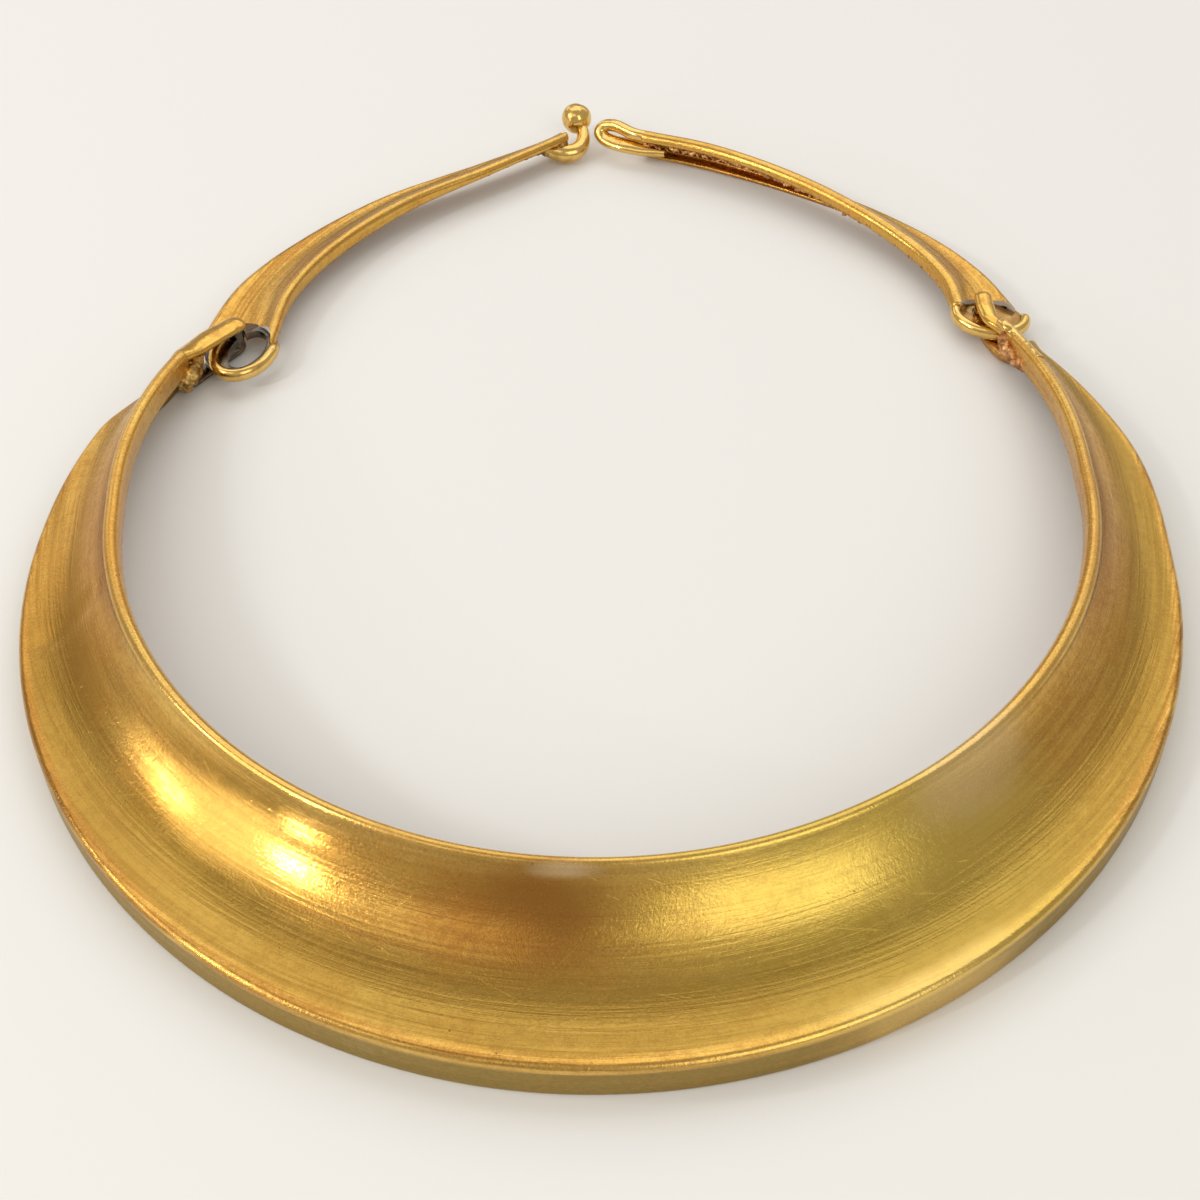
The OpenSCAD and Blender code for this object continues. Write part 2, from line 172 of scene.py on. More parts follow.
# %% [markdown]
# ## A small language for node trees
#
# Formulas in node trees take many Math nodes. The class below writes them from ordinary signs: every
# plus or times in a formula adds one node. It serves geometry trees and shader groups alike. A `Value`
# can hold any socket, also a vector or a shape, but the signs are for numbers.

# %% Numbers and nodes
def feed(tree, slot, item):
    """Links a socket or a Value to a slot, or types a plain value into it."""
    if isinstance(item, Value):
        item = item.socket
    if isinstance(item, bpy.types.NodeSocket):
        tree.links.new(item, slot)
    else:
        slot.default_value = item


def add_node(tree, kind, inputs=None, **settings):
    made = tree.nodes.new(kind)
    for name, value in settings.items():
        setattr(made, name, value)
    for name, item in (inputs or {}).items():
        feed(tree, next(s for s in made.inputs if s.name == name and s.enabled), item)
    return made


def sum_node(tree, operation, *items):
    made = add_node(tree, "ShaderNodeMath", operation=operation)
    for slot, item in zip(made.inputs, items):
        feed(tree, slot, item)
    return Value(tree, made.outputs[0])


class Value:
    """Something that runs through a node tree, most often a number."""

    def __init__(self, tree, socket):
        self.tree, self.socket = tree, socket

    def do(self, operation, *others):
        return sum_node(self.tree, operation, self, *others)

    def __add__(self, other):
        return self.do("ADD", other)

    def __radd__(self, other):
        return self.do("ADD", other)

    def __sub__(self, other):
        return self.do("SUBTRACT", other)

    def __rsub__(self, other):
        return sum_node(self.tree, "SUBTRACT", other, self)

    def __mul__(self, other):
        return self.do("MULTIPLY", other)

    def __rmul__(self, other):
        return self.do("MULTIPLY", other)

    def __truediv__(self, other):
        return self.do("DIVIDE", other)

    def __rtruediv__(self, other):
        return sum_node(self.tree, "DIVIDE", other, self)

    def clamp(self, high=1.0):
        return self.do("MAXIMUM", 0.0).do("MINIMUM", high)

    def smooth(self, low, high):
        """Rises softly from 0 at low to 1 at high."""
        ranged = add_node(self.tree, "ShaderNodeMapRange",
                          {"Value": self, "From Min": low, "From Max": high},
                          interpolation_type="SMOOTHSTEP")
        return Value(self.tree, ranged.outputs[0])


def new_tree(name, kind, inputs, outputs):
    """A node group with named sockets: inputs are (name, type, default), outputs are (name, type)."""
    tree = bpy.data.node_groups.new(name, kind)
    for label, socket, default in inputs:
        made = tree.interface.new_socket(label, in_out="INPUT", socket_type="NodeSocket" + socket)
        if default is not None:
            made.default_value = default
    for label, socket in outputs:
        tree.interface.new_socket(label, in_out="OUTPUT", socket_type="NodeSocket" + socket)
    given, result = tree.nodes.new("NodeGroupInput"), tree.nodes.new("NodeGroupOutput")
    return tree, {s.name: Value(tree, s) for s in given.outputs if s.name}, result.inputs


def split(tree, vector):
    return [Value(tree, part) for part in add_node(tree, "ShaderNodeSeparateXYZ", {"Vector": vector}).outputs]


def joined(tree, x, y, z):
    return Value(tree, add_node(tree, "ShaderNodeCombineXYZ", {"X": x, "Y": y, "Z": z}).outputs[0])


def vectors(tree, operation, *items):
    made = add_node(tree, "ShaderNodeVectorMath", operation=operation)
    for slot, item in zip((s for s in made.inputs if s.enabled), items):
        feed(tree, slot, item)
    return Value(tree, made.outputs["Value" if operation in ("DOT_PRODUCT", "LENGTH") else "Vector"])


def noise(tree, vector, scale, detail=2.0, roughness=0.5, distortion=0.0):
    return Value(tree, add_node(tree, "ShaderNodeTexNoise", {
        "Vector": vector, "Scale": scale, "Detail": detail, "Roughness": roughness,
        "Distortion": distortion}).outputs[0])


def distance_to_line(tree, place, start, end):
    """How far a place is from the straight line between two points."""
    span = vectors(tree, "SUBTRACT", end, start)
    back = vectors(tree, "SUBTRACT", place, start)
    length_squared = vectors(tree, "DOT_PRODUCT", span, span).do("MAXIMUM", 1e-9)
    share = (vectors(tree, "DOT_PRODUCT", back, span) / length_squared).clamp()
    return vectors(tree, "LENGTH", vectors(tree, "SUBTRACT", back, vectors(tree, "SCALE", span, share)))


def shape_node(tree, kind, inputs=None, **settings):
    """Adds a geometry node and returns what comes out of it first."""
    return Value(tree, add_node(tree, "GeometryNode" + kind, inputs, **settings).outputs[0])


def carried(tree, label, kind="FLOAT_VECTOR"):
    """A number or a vector that a guide carries."""
    return shape_node(tree, "InputNamedAttribute", {"Name": label}, data_type=kind)


def store(tree, geometry, label, value):
    """Leaves a vector on each point, for the trees and materials that come later."""
    return shape_node(tree, "StoreNamedAttribute", {"Geometry": geometry, "Name": label, "Value": value},
                      data_type="FLOAT_VECTOR", domain="POINT")


def in_metal(tree, geometry, metal):
    """Ends a geometry tree: smooth shading, one plain mesh, and its metal."""
    geometry = shape_node(tree, "SetShadeSmooth", {"Geometry": geometry})
    geometry = shape_node(tree, "RealizeInstances", {"Geometry": geometry})
    return shape_node(tree, "SetMaterial", {"Geometry": geometry, "Material": metal})


print("ways to make nodes:", [f.__name__ for f in (add_node, sum_node, vectors, noise, shape_node)])

# %% [markdown]
# ## Guides
#
# A guide is a line of points that carries numbers: how wide the sheet is there, how big its rolls are,
# how far its lips hang. A tree reads the guide and makes the piece. Keeping the numbers on the line
# means that one tree can make the collar and both arms.

# %% Make a guide and run a tree on it
def guide_line(name, points, closed=False, **numbers):
    mesh = bpy.data.meshes.new(name)
    count = len(points)
    edges = [(i, i + 1) for i in range(count - 1)] + ([(count - 1, 0)] if closed else [])
    mesh.from_pydata([tuple(p) for p in points], edges, [])
    for label, values in numbers.items():
        values = np.asarray(values, dtype=float)
        vector = values.ndim == 2
        layer = mesh.attributes.new(label, "FLOAT_VECTOR" if vector else "FLOAT", "POINT")
        layer.data.foreach_set("vector" if vector else "value", values.ravel())
    return mesh


def run_tree(name, guide, tree, values):
    """Puts the tree on the guide, sets its inputs, and keeps the result as a plain mesh."""
    holder = new_object(name + "_guide", guide)
    step = holder.modifiers.new("make", "NODES")
    step.node_group = tree
    for item in tree.interface.items_tree:
        if item.item_type == "SOCKET" and item.in_out == "INPUT" and item.name in values:
            step[item.identifier] = values[item.name]
    seen = holder.evaluated_get(bpy.context.evaluated_depsgraph_get())
    mesh = bpy.data.meshes.new_from_object(seen)
    mesh.name = name
    bpy.data.objects.remove(holder)
    print(f"{name}: {len(mesh.vertices)} points, {len(mesh.polygons)} faces")
    return new_object(name, mesh)


# %% [markdown]
# ## The rolled sheet
#
# On the real collar a flat crescent is hammered into a valley: the neck side turns over into a rolled
# rim, the outer side into a rolled crest, and a hollow joins them. Lofting by hand between drawn
# sections would do, but the form follows a rule: two circles, and a hollow arc that touches both. So a
# geometry tree computes every point of it from the guide's numbers. The sheet has a real thickness and
# round edges.

# %% The tree for rolled sheet
WELD = 1e-6                 # metres, closes the seam where the grid meets itself


def rolled_sheet_tree():
    tree, given, result = new_tree("rolled_sheet", "GeometryNodeTree", [
        ("Guide", "Geometry", None), ("Sheet", "Float", 1 * MM), ("Hollow ratio", "Float", 0.85),
        ("Lip steps", "Int", 4), ("Roll steps", "Int", 14), ("Hollow steps", "Int", 26),
        ("Edge steps", "Int", 6), ("Wobble", "Float", 0.0), ("Wobble size", "Float", 12 * MM),
        ("Dent start", "Vector", (0, 0, 0)), ("Dent end", "Vector", (0, 0, 0)),
        ("Dent width", "Float", 3 * MM), ("Dent depth", "Float", 0.0),
        ("Metal", "Material", None)], [("Sheet", "Geometry")])
    guide = given["Guide"]
    stations = shape_node(tree, "AttributeDomainSize", {"Geometry": guide}, component="MESH")
    lip, roll, hollow, edge = (given[part + " steps"] for part in ("Lip", "Roll", "Hollow", "Edge"))
    face = lip * 2 + roll * 2 + hollow
    columns = face * 2 + edge * 2 + 1
    geometry = shape_node(tree, "MeshGrid", {
        "Size X": 1.0, "Size Y": 1.0, "Vertices X": columns, "Vertices Y": stations})
    index = shape_node(tree, "InputIndex")
    column = ((index + 0.5) / stations).do("FLOOR")
    station = index - column * stations

    def on_guide(value):
        picked = shape_node(tree, "SampleIndex", {"Geometry": guide, "Value": value, "Index": station},
                            data_type="FLOAT_VECTOR", domain="POINT")
        return split(tree, picked)

    foot_x, foot_y, rim_z = on_guide(shape_node(tree, "InputPosition"))
    reach_x, reach_y, edge_z = on_guide(carried(tree, "reach"))
    rim_roll, edge_roll, curl = on_guide(carried(tree, "rolls"))
    rim_lip, edge_lip, full = on_guide(carried(tree, "lips"))
    run = on_guide(carried(tree, "run"))[0]
    width = (reach_x * reach_x + reach_y * reach_y).do("SQRT")

    # Where on the section this column lies: along the face, and round the edge of the sheet.
    along = column.clamp(face) - (column - (face + edge)).clamp(face)
    around = ((column - face) / edge).clamp() + ((column - (face * 2 + edge)) / edge).clamp()
    parts = []
    start = 0.0
    for steps in (lip, roll, hollow, roll, lip):
        parts.append(((along - start) / steps).clamp())
        start = steps + start
    part_rim_lip, part_rim, part_hollow, part_crest, part_edge_lip = parts

    # Two circles and the hollow that touches both, in a plane: u away from the rim's middle, v up.
    half = given["Sheet"] * 0.5
    rim_v = rim_z - rim_roll
    crest_u, crest_v = width - edge_roll, edge_z - edge_roll
    rise = crest_v - rim_v
    gap = (crest_u * crest_u + rise * rise).do("SQRT")
    hollow_r = given["Hollow ratio"] * gap
    from_rim, from_crest = hollow_r + rim_roll, hollow_r + edge_roll
    far = (gap * gap + from_rim * from_rim - from_crest * from_crest) / (gap * 2)
    high = (from_rim * from_rim - far * far).do("MAXIMUM", 0.0).do("SQRT")
    middle_u = (far * crest_u - high * rise) / gap
    middle_v = rim_v + (far * rise + high * crest_u) / gap
    rim_turn = (middle_v - rim_v).do("ARCTAN2", middle_u)
    crest_turn = (middle_v - crest_v).do("ARCTAN2", middle_u - crest_u)
    turn_rim = math.pi + (rim_turn - math.pi) * part_rim
    turn_hollow = rim_turn + (crest_turn - rim_turn) * part_hollow
    turn_crest = crest_turn + (0.0 - curl - crest_turn) * part_crest
    turn = turn_rim + (turn_hollow - rim_turn) + (turn_crest - crest_turn)
    rim_mid, hollow_mid, crest_mid = rim_roll - half, hollow_r + half, edge_roll - half
    plain_rim_lip, plain_edge_lip = rim_lip - half, edge_lip - half

    def cos(x):
        return x.do("COSINE")

    def sin(x):
        return x.do("SINE")

    line_u = (rim_mid * cos(turn_rim) - hollow_mid * (cos(turn_hollow) - cos(rim_turn))
              + crest_mid * (cos(turn_crest) - cos(crest_turn))
              - part_edge_lip * plain_edge_lip * sin(curl))
    line_v = (rim_v + rim_mid * sin(turn_rim) - hollow_mid * (sin(turn_hollow) - sin(rim_turn))
              + crest_mid * (sin(turn_crest) - sin(crest_turn))
              - part_edge_lip * plain_edge_lip * cos(curl) - (1.0 - part_rim_lip) * plain_rim_lip)
    across = (part_rim_lip * plain_rim_lip + part_rim * rim_mid * (math.pi - rim_turn)
              + part_hollow * hollow_mid * (crest_turn - rim_turn).do("ABSOLUTE")
              + part_crest * crest_mid * (crest_turn + curl) + part_edge_lip * plain_edge_lip)

    def on_section(u, v):
        return joined(tree, foot_x + u * reach_x / width, foot_y + u * reach_y / width, v)

    # Hand work: a slow wobble all over, and one dent along a line.
    plain = on_section(line_u, line_v)
    slow = noise(tree, plain, 1.0 / given["Wobble size"], 1.0) - 0.5
    off_line = distance_to_line(tree, plain, given["Dent start"], given["Dent end"])
    dent = 1.0 - (off_line / given["Dent width"]).clamp().smooth(0.0, 1.0)
    push = slow * given["Wobble"] * part_rim.smooth(0.3, 1.0) - dent * given["Dent depth"]

    # The underside stays inside a tight roll, so the sheet is a little thinner at its rims.
    close_rim = (1.0 - part_hollow.smooth(0.0, 0.12)) * (half - half.do("MINIMUM", rim_mid))
    close_crest = part_hollow.smooth(0.88, 1.0) * (half - half.do("MINIMUM", crest_mid))
    round_turn = around * math.pi
    top_side = cos(round_turn).do("GREATER_THAN", 0.0)
    depth = half - (close_rim + close_crest) * (1.0 - top_side)
    lift = depth * full * cos(round_turn) + push
    side_step = half * full * sin(round_turn)
    point = on_section(line_u + lift * cos(turn) + side_step * sin(turn),
                       line_v + lift * sin(turn) - side_step * cos(turn))

    # Numbers for the finish: grain = along and across the sheet, place = rim, crest and underside,
    # lips = rim lip, edge lip and how far across the hollow.
    rimness = part_rim.smooth(0.2, 0.8) * (1.0 - part_hollow.smooth(0.0, 0.14))
    crestness = part_crest.smooth(0.1, 0.7) * (1.0 - part_edge_lip.smooth(0.2, 1.0))
    under = (around - 0.5).clamp().smooth(0.0, 0.5) * (1.0 - (around - 1.5).smooth(0.0, 0.5))
    for label, value in (("grain", joined(tree, run, across, line_v)),
                         ("place", joined(tree, rimness, crestness, under)),
                         ("lips", joined(tree, 1.0 - part_rim_lip, part_edge_lip, part_hollow))):
        geometry = store(tree, geometry, label, value)
    geometry = shape_node(tree, "SetPosition", {"Geometry": geometry, "Position": point})
    geometry = shape_node(tree, "MergeByDistance", {"Geometry": geometry, "Distance": WELD})
    geometry = shape_node(tree, "FlipFaces", {"Mesh": geometry})
    feed(tree, result["Sheet"], in_metal(tree, geometry, given["Metal"]))
    return tree


ROLLED_SHEET = rolled_sheet_tree()
print("rolled_sheet has", len(ROLLED_SHEET.nodes), "nodes")

# %% [markdown]
# ## The numbers of the collar
#
# These are the same rules that the solids follow, in millimetres. An angle of 0 is the middle of the
# front, and angles grow towards the wearer's left, which is +X. A pair holds a number for either side,
# the one for angles below 0 first.

# %% The collar's rules
NECK_RADIUS, FRONT_EASE = 61.8, 0.7
EDGE_HALF_WIDTH, EDGE_HALF_LENGTH, EDGE_SHIFT = 71.7, 72.9, 8.8
RIM_HEIGHT, RIM_DROP, CREST_HEIGHT, CREST_DROP = 13.5, 7.0, 5.2, 1.2
DROP_ANGLE, DROP_POWER = 120.0, 3.2
END_ANGLE = (-114.0, 121.0)
RIM_ROLL, END_ROLL = 1.5, 1.2
RIM_FLARE_START, RIM_FLARE, RIM_FLARE_SPAN, RIM_FLARE_POWER = (82.0, 92.0), (2.3, 3.5), 25.0, 1.3
EDGE_FLARE, EDGE_FLARE_SPAN = (0.5, 1.7), (82, 103)
TAPER_START, END_WIDTH, THIN_START = (101.0, 117.0), (2.3, 3.6), 78
RIM_LIP, END_LIP = 2.0, 0.6
TIGHT_RIM, TIGHT_CREST = (0.72, 1.0), 0.8   # front and sides; the real rolls are tighter than the solids'
COLLAR_SHEET, ARM_SHEET = 1.0, 0.8          # how thick the metal is
COLLAR_STATIONS, COLLAR_END_STEP = 320, 0.5


def ease(x, start, end):
    f = min(1.0, max(0.0, (x - start) / (end - start)))
    return f * f * (3 - 2 * f)


def side(angle, pair):
    return pair[0] if angle < 0 else pair[1]


def end_share(angle):
    """How much of the drop towards the ends is reached at an angle."""
    return (abs(angle) / DROP_ANGLE) ** DROP_POWER


def rim_top(angle):
    return RIM_HEIGHT - RIM_DROP * end_share(angle)


def rim_radius(angle):
    past = max(0.0, abs(angle) - side(angle, RIM_FLARE_START))
    return (NECK_RADIUS + FRONT_EASE * max(0.0, math.cos(math.radians(angle))) ** 2
            + side(angle, RIM_FLARE) * (past / RIM_FLARE_SPAN) ** RIM_FLARE_POWER)


def edge_radius(angle):
    """The outer edge is an oval that is shifted forward, with a flare towards the ends."""
    s, c = math.sin(math.radians(angle)), math.cos(math.radians(angle))
    a = (s / EDGE_HALF_WIDTH) ** 2 + (c / EDGE_HALF_LENGTH) ** 2
    b = -2 * EDGE_SHIFT * c / EDGE_HALF_LENGTH ** 2
    d = (EDGE_SHIFT / EDGE_HALF_LENGTH) ** 2 - 1
    return ((-b + math.sqrt(b * b - 4 * a * d)) / (2 * a)
            + side(angle, EDGE_FLARE) * ease(abs(angle), *EDGE_FLARE_SPAN))


def collar_station(angle):
    """All numbers of the collar's section at one angle."""
    out = (math.sin(math.radians(angle)), -math.cos(math.radians(angle)))
    sideways = out[0] ** 2
    end = abs(side(angle, END_ANGLE))
    full = edge_radius(angle) - rim_radius(angle)
    width = full + (side(angle, END_WIDTH) - full) * ease(abs(angle), side(angle, TAPER_START), end)
    thin = ease(abs(angle), THIN_START, end)
    rim = TIGHT_RIM[0] + (TIGHT_RIM[1] - TIGHT_RIM[0]) * sideways
    crest = TIGHT_CREST + 0.1 * thin
    # A tighter rim sits closer to the neck, so that it is seen where the solid's rim is seen.
    solid_rim = RIM_ROLL + (END_ROLL - RIM_ROLL) * thin
    shift = (solid_rim - rim) * (0.44 + 0.56 * sideways)
    edge_z = CREST_HEIGHT - CREST_DROP * end_share(angle)
    foot = rim_radius(angle) - shift
    width += shift
    return {"foot": (foot * out[0], foot * out[1], rim_top(angle)),
            "reach": (width * out[0], width * out[1], edge_z),
            "rolls": (rim, crest, 0.0),
            "lips": (RIM_LIP + END_LIP * end_share(angle) + solid_rim - rim, edge_z - crest, 1.0)}


def sheet_guide(name, stations, thickness):
    """A guide for rolled sheet. Both ends get round: the sheet thins out over its own half thickness."""
    feet, reach, rolls, lips = (
        np.array([s[part] for s in stations]) for part in ("foot", "reach", "rolls", "lips"))
    run = np.concatenate([[0], np.cumsum(np.linalg.norm(np.diff(feet[:, :2], axis=0), axis=1))])
    left = np.minimum(run, run[-1] - run) / (thickness / 2)
    full = np.sqrt(1 - (1 - np.clip(left, 0, 1)) ** 2)
    return guide_line(name, feet * MM, reach=reach * MM, rolls=rolls * [MM, MM, 1],
                      lips=np.column_stack([lips[:, :2] * MM, full]),
                      run=np.column_stack([run * MM, run * 0, run * 0]))


def with_close_ends(low, high, count, close):
    """Evenly spaced numbers, with a few more close to both ends, where the sheet gets round."""
    near = np.array([0, 0.03, 0.12, 0.27, 0.5, 0.75]) * close
    inner = np.linspace(low + close, high - close, count)
    return np.concatenate([low + near, inner, (high - near)[::-1]])


collar_angles = with_close_ends(*END_ANGLE, COLLAR_STATIONS, COLLAR_END_STEP)
collar_stations = [collar_station(a) for a in collar_angles]
print("stations of the collar:", len(collar_stations))

# %% [markdown]
# ## The numbers of the arms
#
# Each arm is a table of rows from its eye to the clasp, and a smooth curve runs through them. The curl
# is how far the outer edge turns under, in degrees. It grows towards the clasp, most on the right.

# %% The arms' tables
ARM_ROWS = {  # a point on the top line of the rim, a point on the outer edge, rim lip, curl, edge lip
    "left": [
        (-49.0, 33.0, 4.1, -58.9, 34.2, 3.6, 0.5, 10, 0.4),
        (-47.4, 43.8, 5.2, -55.2, 46.8, 3.8, 1.4, 10, 1.4),
        (-42.3, 54.7, 5.3, -47.5, 58.4, 3.7, 1.6, 15, 1.4),
        (-33.0, 65.9, 5.3, -36.6, 69.4, 3.6, 1.3, 20, 1.2),
        (-21.2, 74.8, 5.2, -23.6, 78.2, 3.4, 0.5, 30, 1.0),
        (-12.0, 82.4, 5.0, -13.6, 85.2, 3.2, 0.4, 40, 0.8),
        (-8.8, 85.4, 4.8, -9.9, 88.0, 3.4, 0.4, 50, 0.4)],
    "right": [
        (49.9, 43.0, 4.2, 58.2, 43.1, 3.6, 0.5, 10, 0.4),
        (48.4, 48.6, 5.3, 54.2, 51.3, 3.8, 1.2, 15, 1.2),
        (44.0, 56.2, 5.5, 48.2, 59.5, 3.6, 1.2, 25, 1.2),
        (36.0, 65.0, 5.8, 39.3, 67.8, 3.3, 0.9, 45, 1.2),
        (26.0, 73.2, 6.0, 28.2, 75.9, 2.8, 0.5, 75, 1.3),
        (14.6, 80.0, 6.0, 15.8, 82.7, 2.5, 0.4, 85, 1.5),
        (3.2, 84.4, 5.7, 3.9, 87.0, 2.5, 0.4, 85, 1.4)]}
ARM_RIM_ROLL, ARM_EDGE_ROLL = 1.25, 0.95    # the solids'
TIGHT_ARM_RIM = {"left": 0.85, "right": 1.1}
ARM_STATIONS, ARM_END_STEP = 190, 0.045


def smooth_row(rows, s):
    """The row at place s, on a smooth curve through the four rows round it."""
    rows = [np.array(r, float) for r in rows]
    rows = [2 * rows[0] - rows[1], *rows, 2 * rows[-1] - rows[-2]]
    i = min(int(s), len(rows) - 4)
    a, b, c, d = rows[i:i + 4]
    f = s - i
    return b + f * ((c - a) / 2 + f * (a - 2.5 * b + 2 * c - 0.5 * d + f * (1.5 * (b - c) + 0.5 * (d - a))))


def arm_station(rows, s, rim):
    """A rim that is tighter than the solid's sits a little closer to the neck."""
    x, y, z, edge_x, edge_y, edge_z, rim_lip, curl, edge_lip = smooth_row(rows, s)
    reach = Vector((edge_x - x, edge_y - y))
    shift = reach.normalized() * (ARM_RIM_ROLL - rim) * 0.5
    return {"foot": (x - shift[0], y - shift[1], z),
            "reach": (reach[0] + shift[0], reach[1] + shift[1], edge_z),
            "rolls": (rim, ARM_EDGE_ROLL, math.radians(curl)),
            "lips": (rim_lip, edge_lip, 1.0)}


def arm_stations(hand):
    rows = ARM_ROWS[hand]
    places = with_close_ends(0, len(rows) - 1, ARM_STATIONS, ARM_END_STEP)
    return [arm_station(rows, s, TIGHT_ARM_RIM[hand]) for s in places]


print("rows:", {hand: len(rows) for hand, rows in ARM_ROWS.items()})

# %% [markdown]
# ## Forged wire
#
# The eyes, the tongues, the hook and the loop are wires that were hammered a little flat. A tree sweeps
# a circle along the guide and then stretches it along one direction, so one tree makes round wire, flat
# wire and the broad tongues. A little noise along the normals leaves the marks of the hammer.

# %% The tree for forged wire
def smooth_curve(tree, guide):
    curve = shape_node(tree, "MeshToCurve", {"Mesh": guide})
    return shape_node(tree, "CurveSplineType", {"Curve": curve}, spline_type="CATMULL_ROM")


def forged_wire_tree():
    tree, given, result = new_tree("forged_wire", "GeometryNodeTree", [
        ("Guide", "Geometry", None), ("Step", "Float", 0.25 * MM), ("Facets", "Int", 28),
        ("Hammer marks", "Float", 0.05 * MM), ("Mark size", "Float", 1.6 * MM),
        ("Metal", "Material", None)], [("Wire", "Geometry")])
    curve = smooth_curve(tree, given["Guide"])
    curve = shape_node(tree, "SetSplineResolution", {"Geometry": curve, "Resolution": 24})
    curve = shape_node(tree, "ResampleCurve", {"Curve": curve, "Length": given["Step"]}, mode="LENGTH")
    here = shape_node(tree, "InputPosition")
    curve = store(tree, curve, "middle", here)
    circle = shape_node(tree, "CurvePrimitiveCircle", {"Resolution": given["Facets"], "Radius": 1.0})
    swept = shape_node(tree, "CurveToMesh", {
        "Curve": curve, "Profile Curve": circle, "Scale": carried(tree, "half", "FLOAT"), "Fill Caps": True})

    off_middle = vectors(tree, "SUBTRACT", here, carried(tree, "middle"))
    axis = carried(tree, "axis")
    more = vectors(tree, "DOT_PRODUCT", off_middle, axis) * (carried(tree, "stretch", "FLOAT") - 1.0)
    marks = (noise(tree, here, 1.0 / given["Mark size"], 2.0) - 0.5) * given["Hammer marks"] * 2.0
    shift = vectors(tree, "ADD", vectors(tree, "SCALE", axis, more),
                    vectors(tree, "SCALE", shape_node(tree, "InputNormal"), marks))
    swept = shape_node(tree, "SetPosition", {"Geometry": swept, "Offset": shift})
    feed(tree, result["Wire"], in_metal(tree, swept, given["Metal"]))
    return tree


FORGED_WIRE = forged_wire_tree()
print("forged_wire has", len(FORGED_WIRE.nodes), "nodes")

# %% [markdown]
# ## Solder
#
# The joints were soldered by hand, and the solder stands in small melted lumps. A tree scatters lumps
# along a guide, melts them together in a volume and gives the skin a rough finish. Metaballs would melt
# too, but they can't be steered along a line with a fixed seed as easily.

# %% The tree for solder
ROUGH_SIZE = 0.5 * MM       # how wide the roughness of the solder's skin is
FULL_TURN = 6.28


def solder_tree():
    tree, given, result = new_tree("solder_run", "GeometryNodeTree", [
        ("Guide", "Geometry", None), ("Lumps", "Int", 20), ("Smallest lump", "Float", 0.5),
        ("Spread", "Float", 0.5), ("Skin", "Float", 0.09 * MM), ("Roughness", "Float", 0.12 * MM),
        ("Seed", "Int", 1), ("Metal", "Material", None)], [("Solder", "Geometry")])

    def chance(low, high, shift, kind="FLOAT"):
        """A random number or vector for each lump. The shift gives each use its own draws."""
        made = add_node(tree, "FunctionNodeRandomValue", data_type=kind)
        for slot, item in zip([s for s in made.inputs if s.enabled], (low, high)):
            feed(tree, slot, item)
        feed(tree, made.inputs["Seed"], given["Seed"] + float(shift))
        return Value(tree, next(s for s in made.outputs if s.enabled))

    thick = carried(tree, "half", "FLOAT")
    scatter = chance((-1, -1, -1), (1, 1, 1), 10, "FLOAT_VECTOR")
    offset = vectors(tree, "SCALE", scatter, thick * given["Spread"])
    points = shape_node(tree, "CurveToPoints", {
        "Curve": smooth_curve(tree, given["Guide"]), "Count": given["Lumps"]}, mode="COUNT")
    points = shape_node(tree, "SetPosition", {"Geometry": points, "Offset": offset})
    lump = shape_node(tree, "MeshIcoSphere", {"Radius": 1.0, "Subdivisions": 2})
    size = chance(given["Smallest lump"], 1.0, 20) * thick
    flat = chance(0.6, 1.0, 30)
    lumps = shape_node(tree, "InstanceOnPoints", {
        "Points": points, "Instance": lump,
        "Rotation": chance((0, 0, 0), (FULL_TURN,) * 3, 40, "FLOAT_VECTOR"),
        "Scale": joined(tree, size, size * flat, size)})
    lumps = shape_node(tree, "RealizeInstances", {"Geometry": lumps})
    melt = shape_node(tree, "MeshToVolume", {
        "Mesh": lumps, "Density": 1.0, "Voxel Size": given["Skin"], "Interior Band Width": 1 * MM},
        resolution_mode="VOXEL_SIZE")
    skin = shape_node(tree, "VolumeToMesh", {"Volume": melt, "Threshold": 0.1}, resolution_mode="GRID")
    here = shape_node(tree, "InputPosition")
    rough = (noise(tree, here, 1.0 / ROUGH_SIZE, 3.0) - 0.5) * given["Roughness"] * 2.0
    shift = vectors(tree, "SCALE", shape_node(tree, "InputNormal"), rough)
    skin = shape_node(tree, "SetPosition", {"Geometry": skin, "Offset": shift})
    feed(tree, result["Solder"], in_metal(tree, skin, given["Metal"]))
    return tree


SOLDER_RUN = solder_tree()
print("solder_run has", len(SOLDER_RUN.nodes), "nodes")

# %% [markdown]
# ## Finishes
#
# The metal is one old brass with a hand finish. What the materials share is built once as shader
# groups: brush lines along the sheet, fine hairlines at an angle to them, patchy tarnish, small pits,
# single scratches and soft zones. Each group puts out one mask, and a colour is painted through it.

# %% Shader groups
def brush_lines(tree, given):
    along, across, _ = split(tree, given["Grain"])
    fine = joined(tree, along * given["Length"], across * given["Fineness"], 0.0)
    broad = joined(tree, along * given["Length"] * 0.6, across * given["Fineness"] * 0.22, 3.0)
    return noise(tree, fine, 1.0, 3.0, 0.6) * 0.55 + noise(tree, broad, 1.0, 2.0, 0.5) * 0.45


def hairlines(tree, given):
    """Rare thin lines, turned away from the grain."""
    along, across, _ = split(tree, given["Grain"])
    turned = along * given["Cosine"] + across * given["Sine"]
    off = across * given["Cosine"] - along * given["Sine"]
    return noise(tree, joined(tree, turned * 130.0, off * 3200.0, 7.0), 1.0, 2.0, 0.5).smooth(0.68, 0.74)


def tarnish(tree, given):
    cloud = noise(tree, given["Place"], 1.0 / given["Patch size"], 6.0, 0.6, 0.3)
    low = 0.75 - given["Cover"] * 0.5
    return cloud.smooth(low - 0.12, low + 0.12)


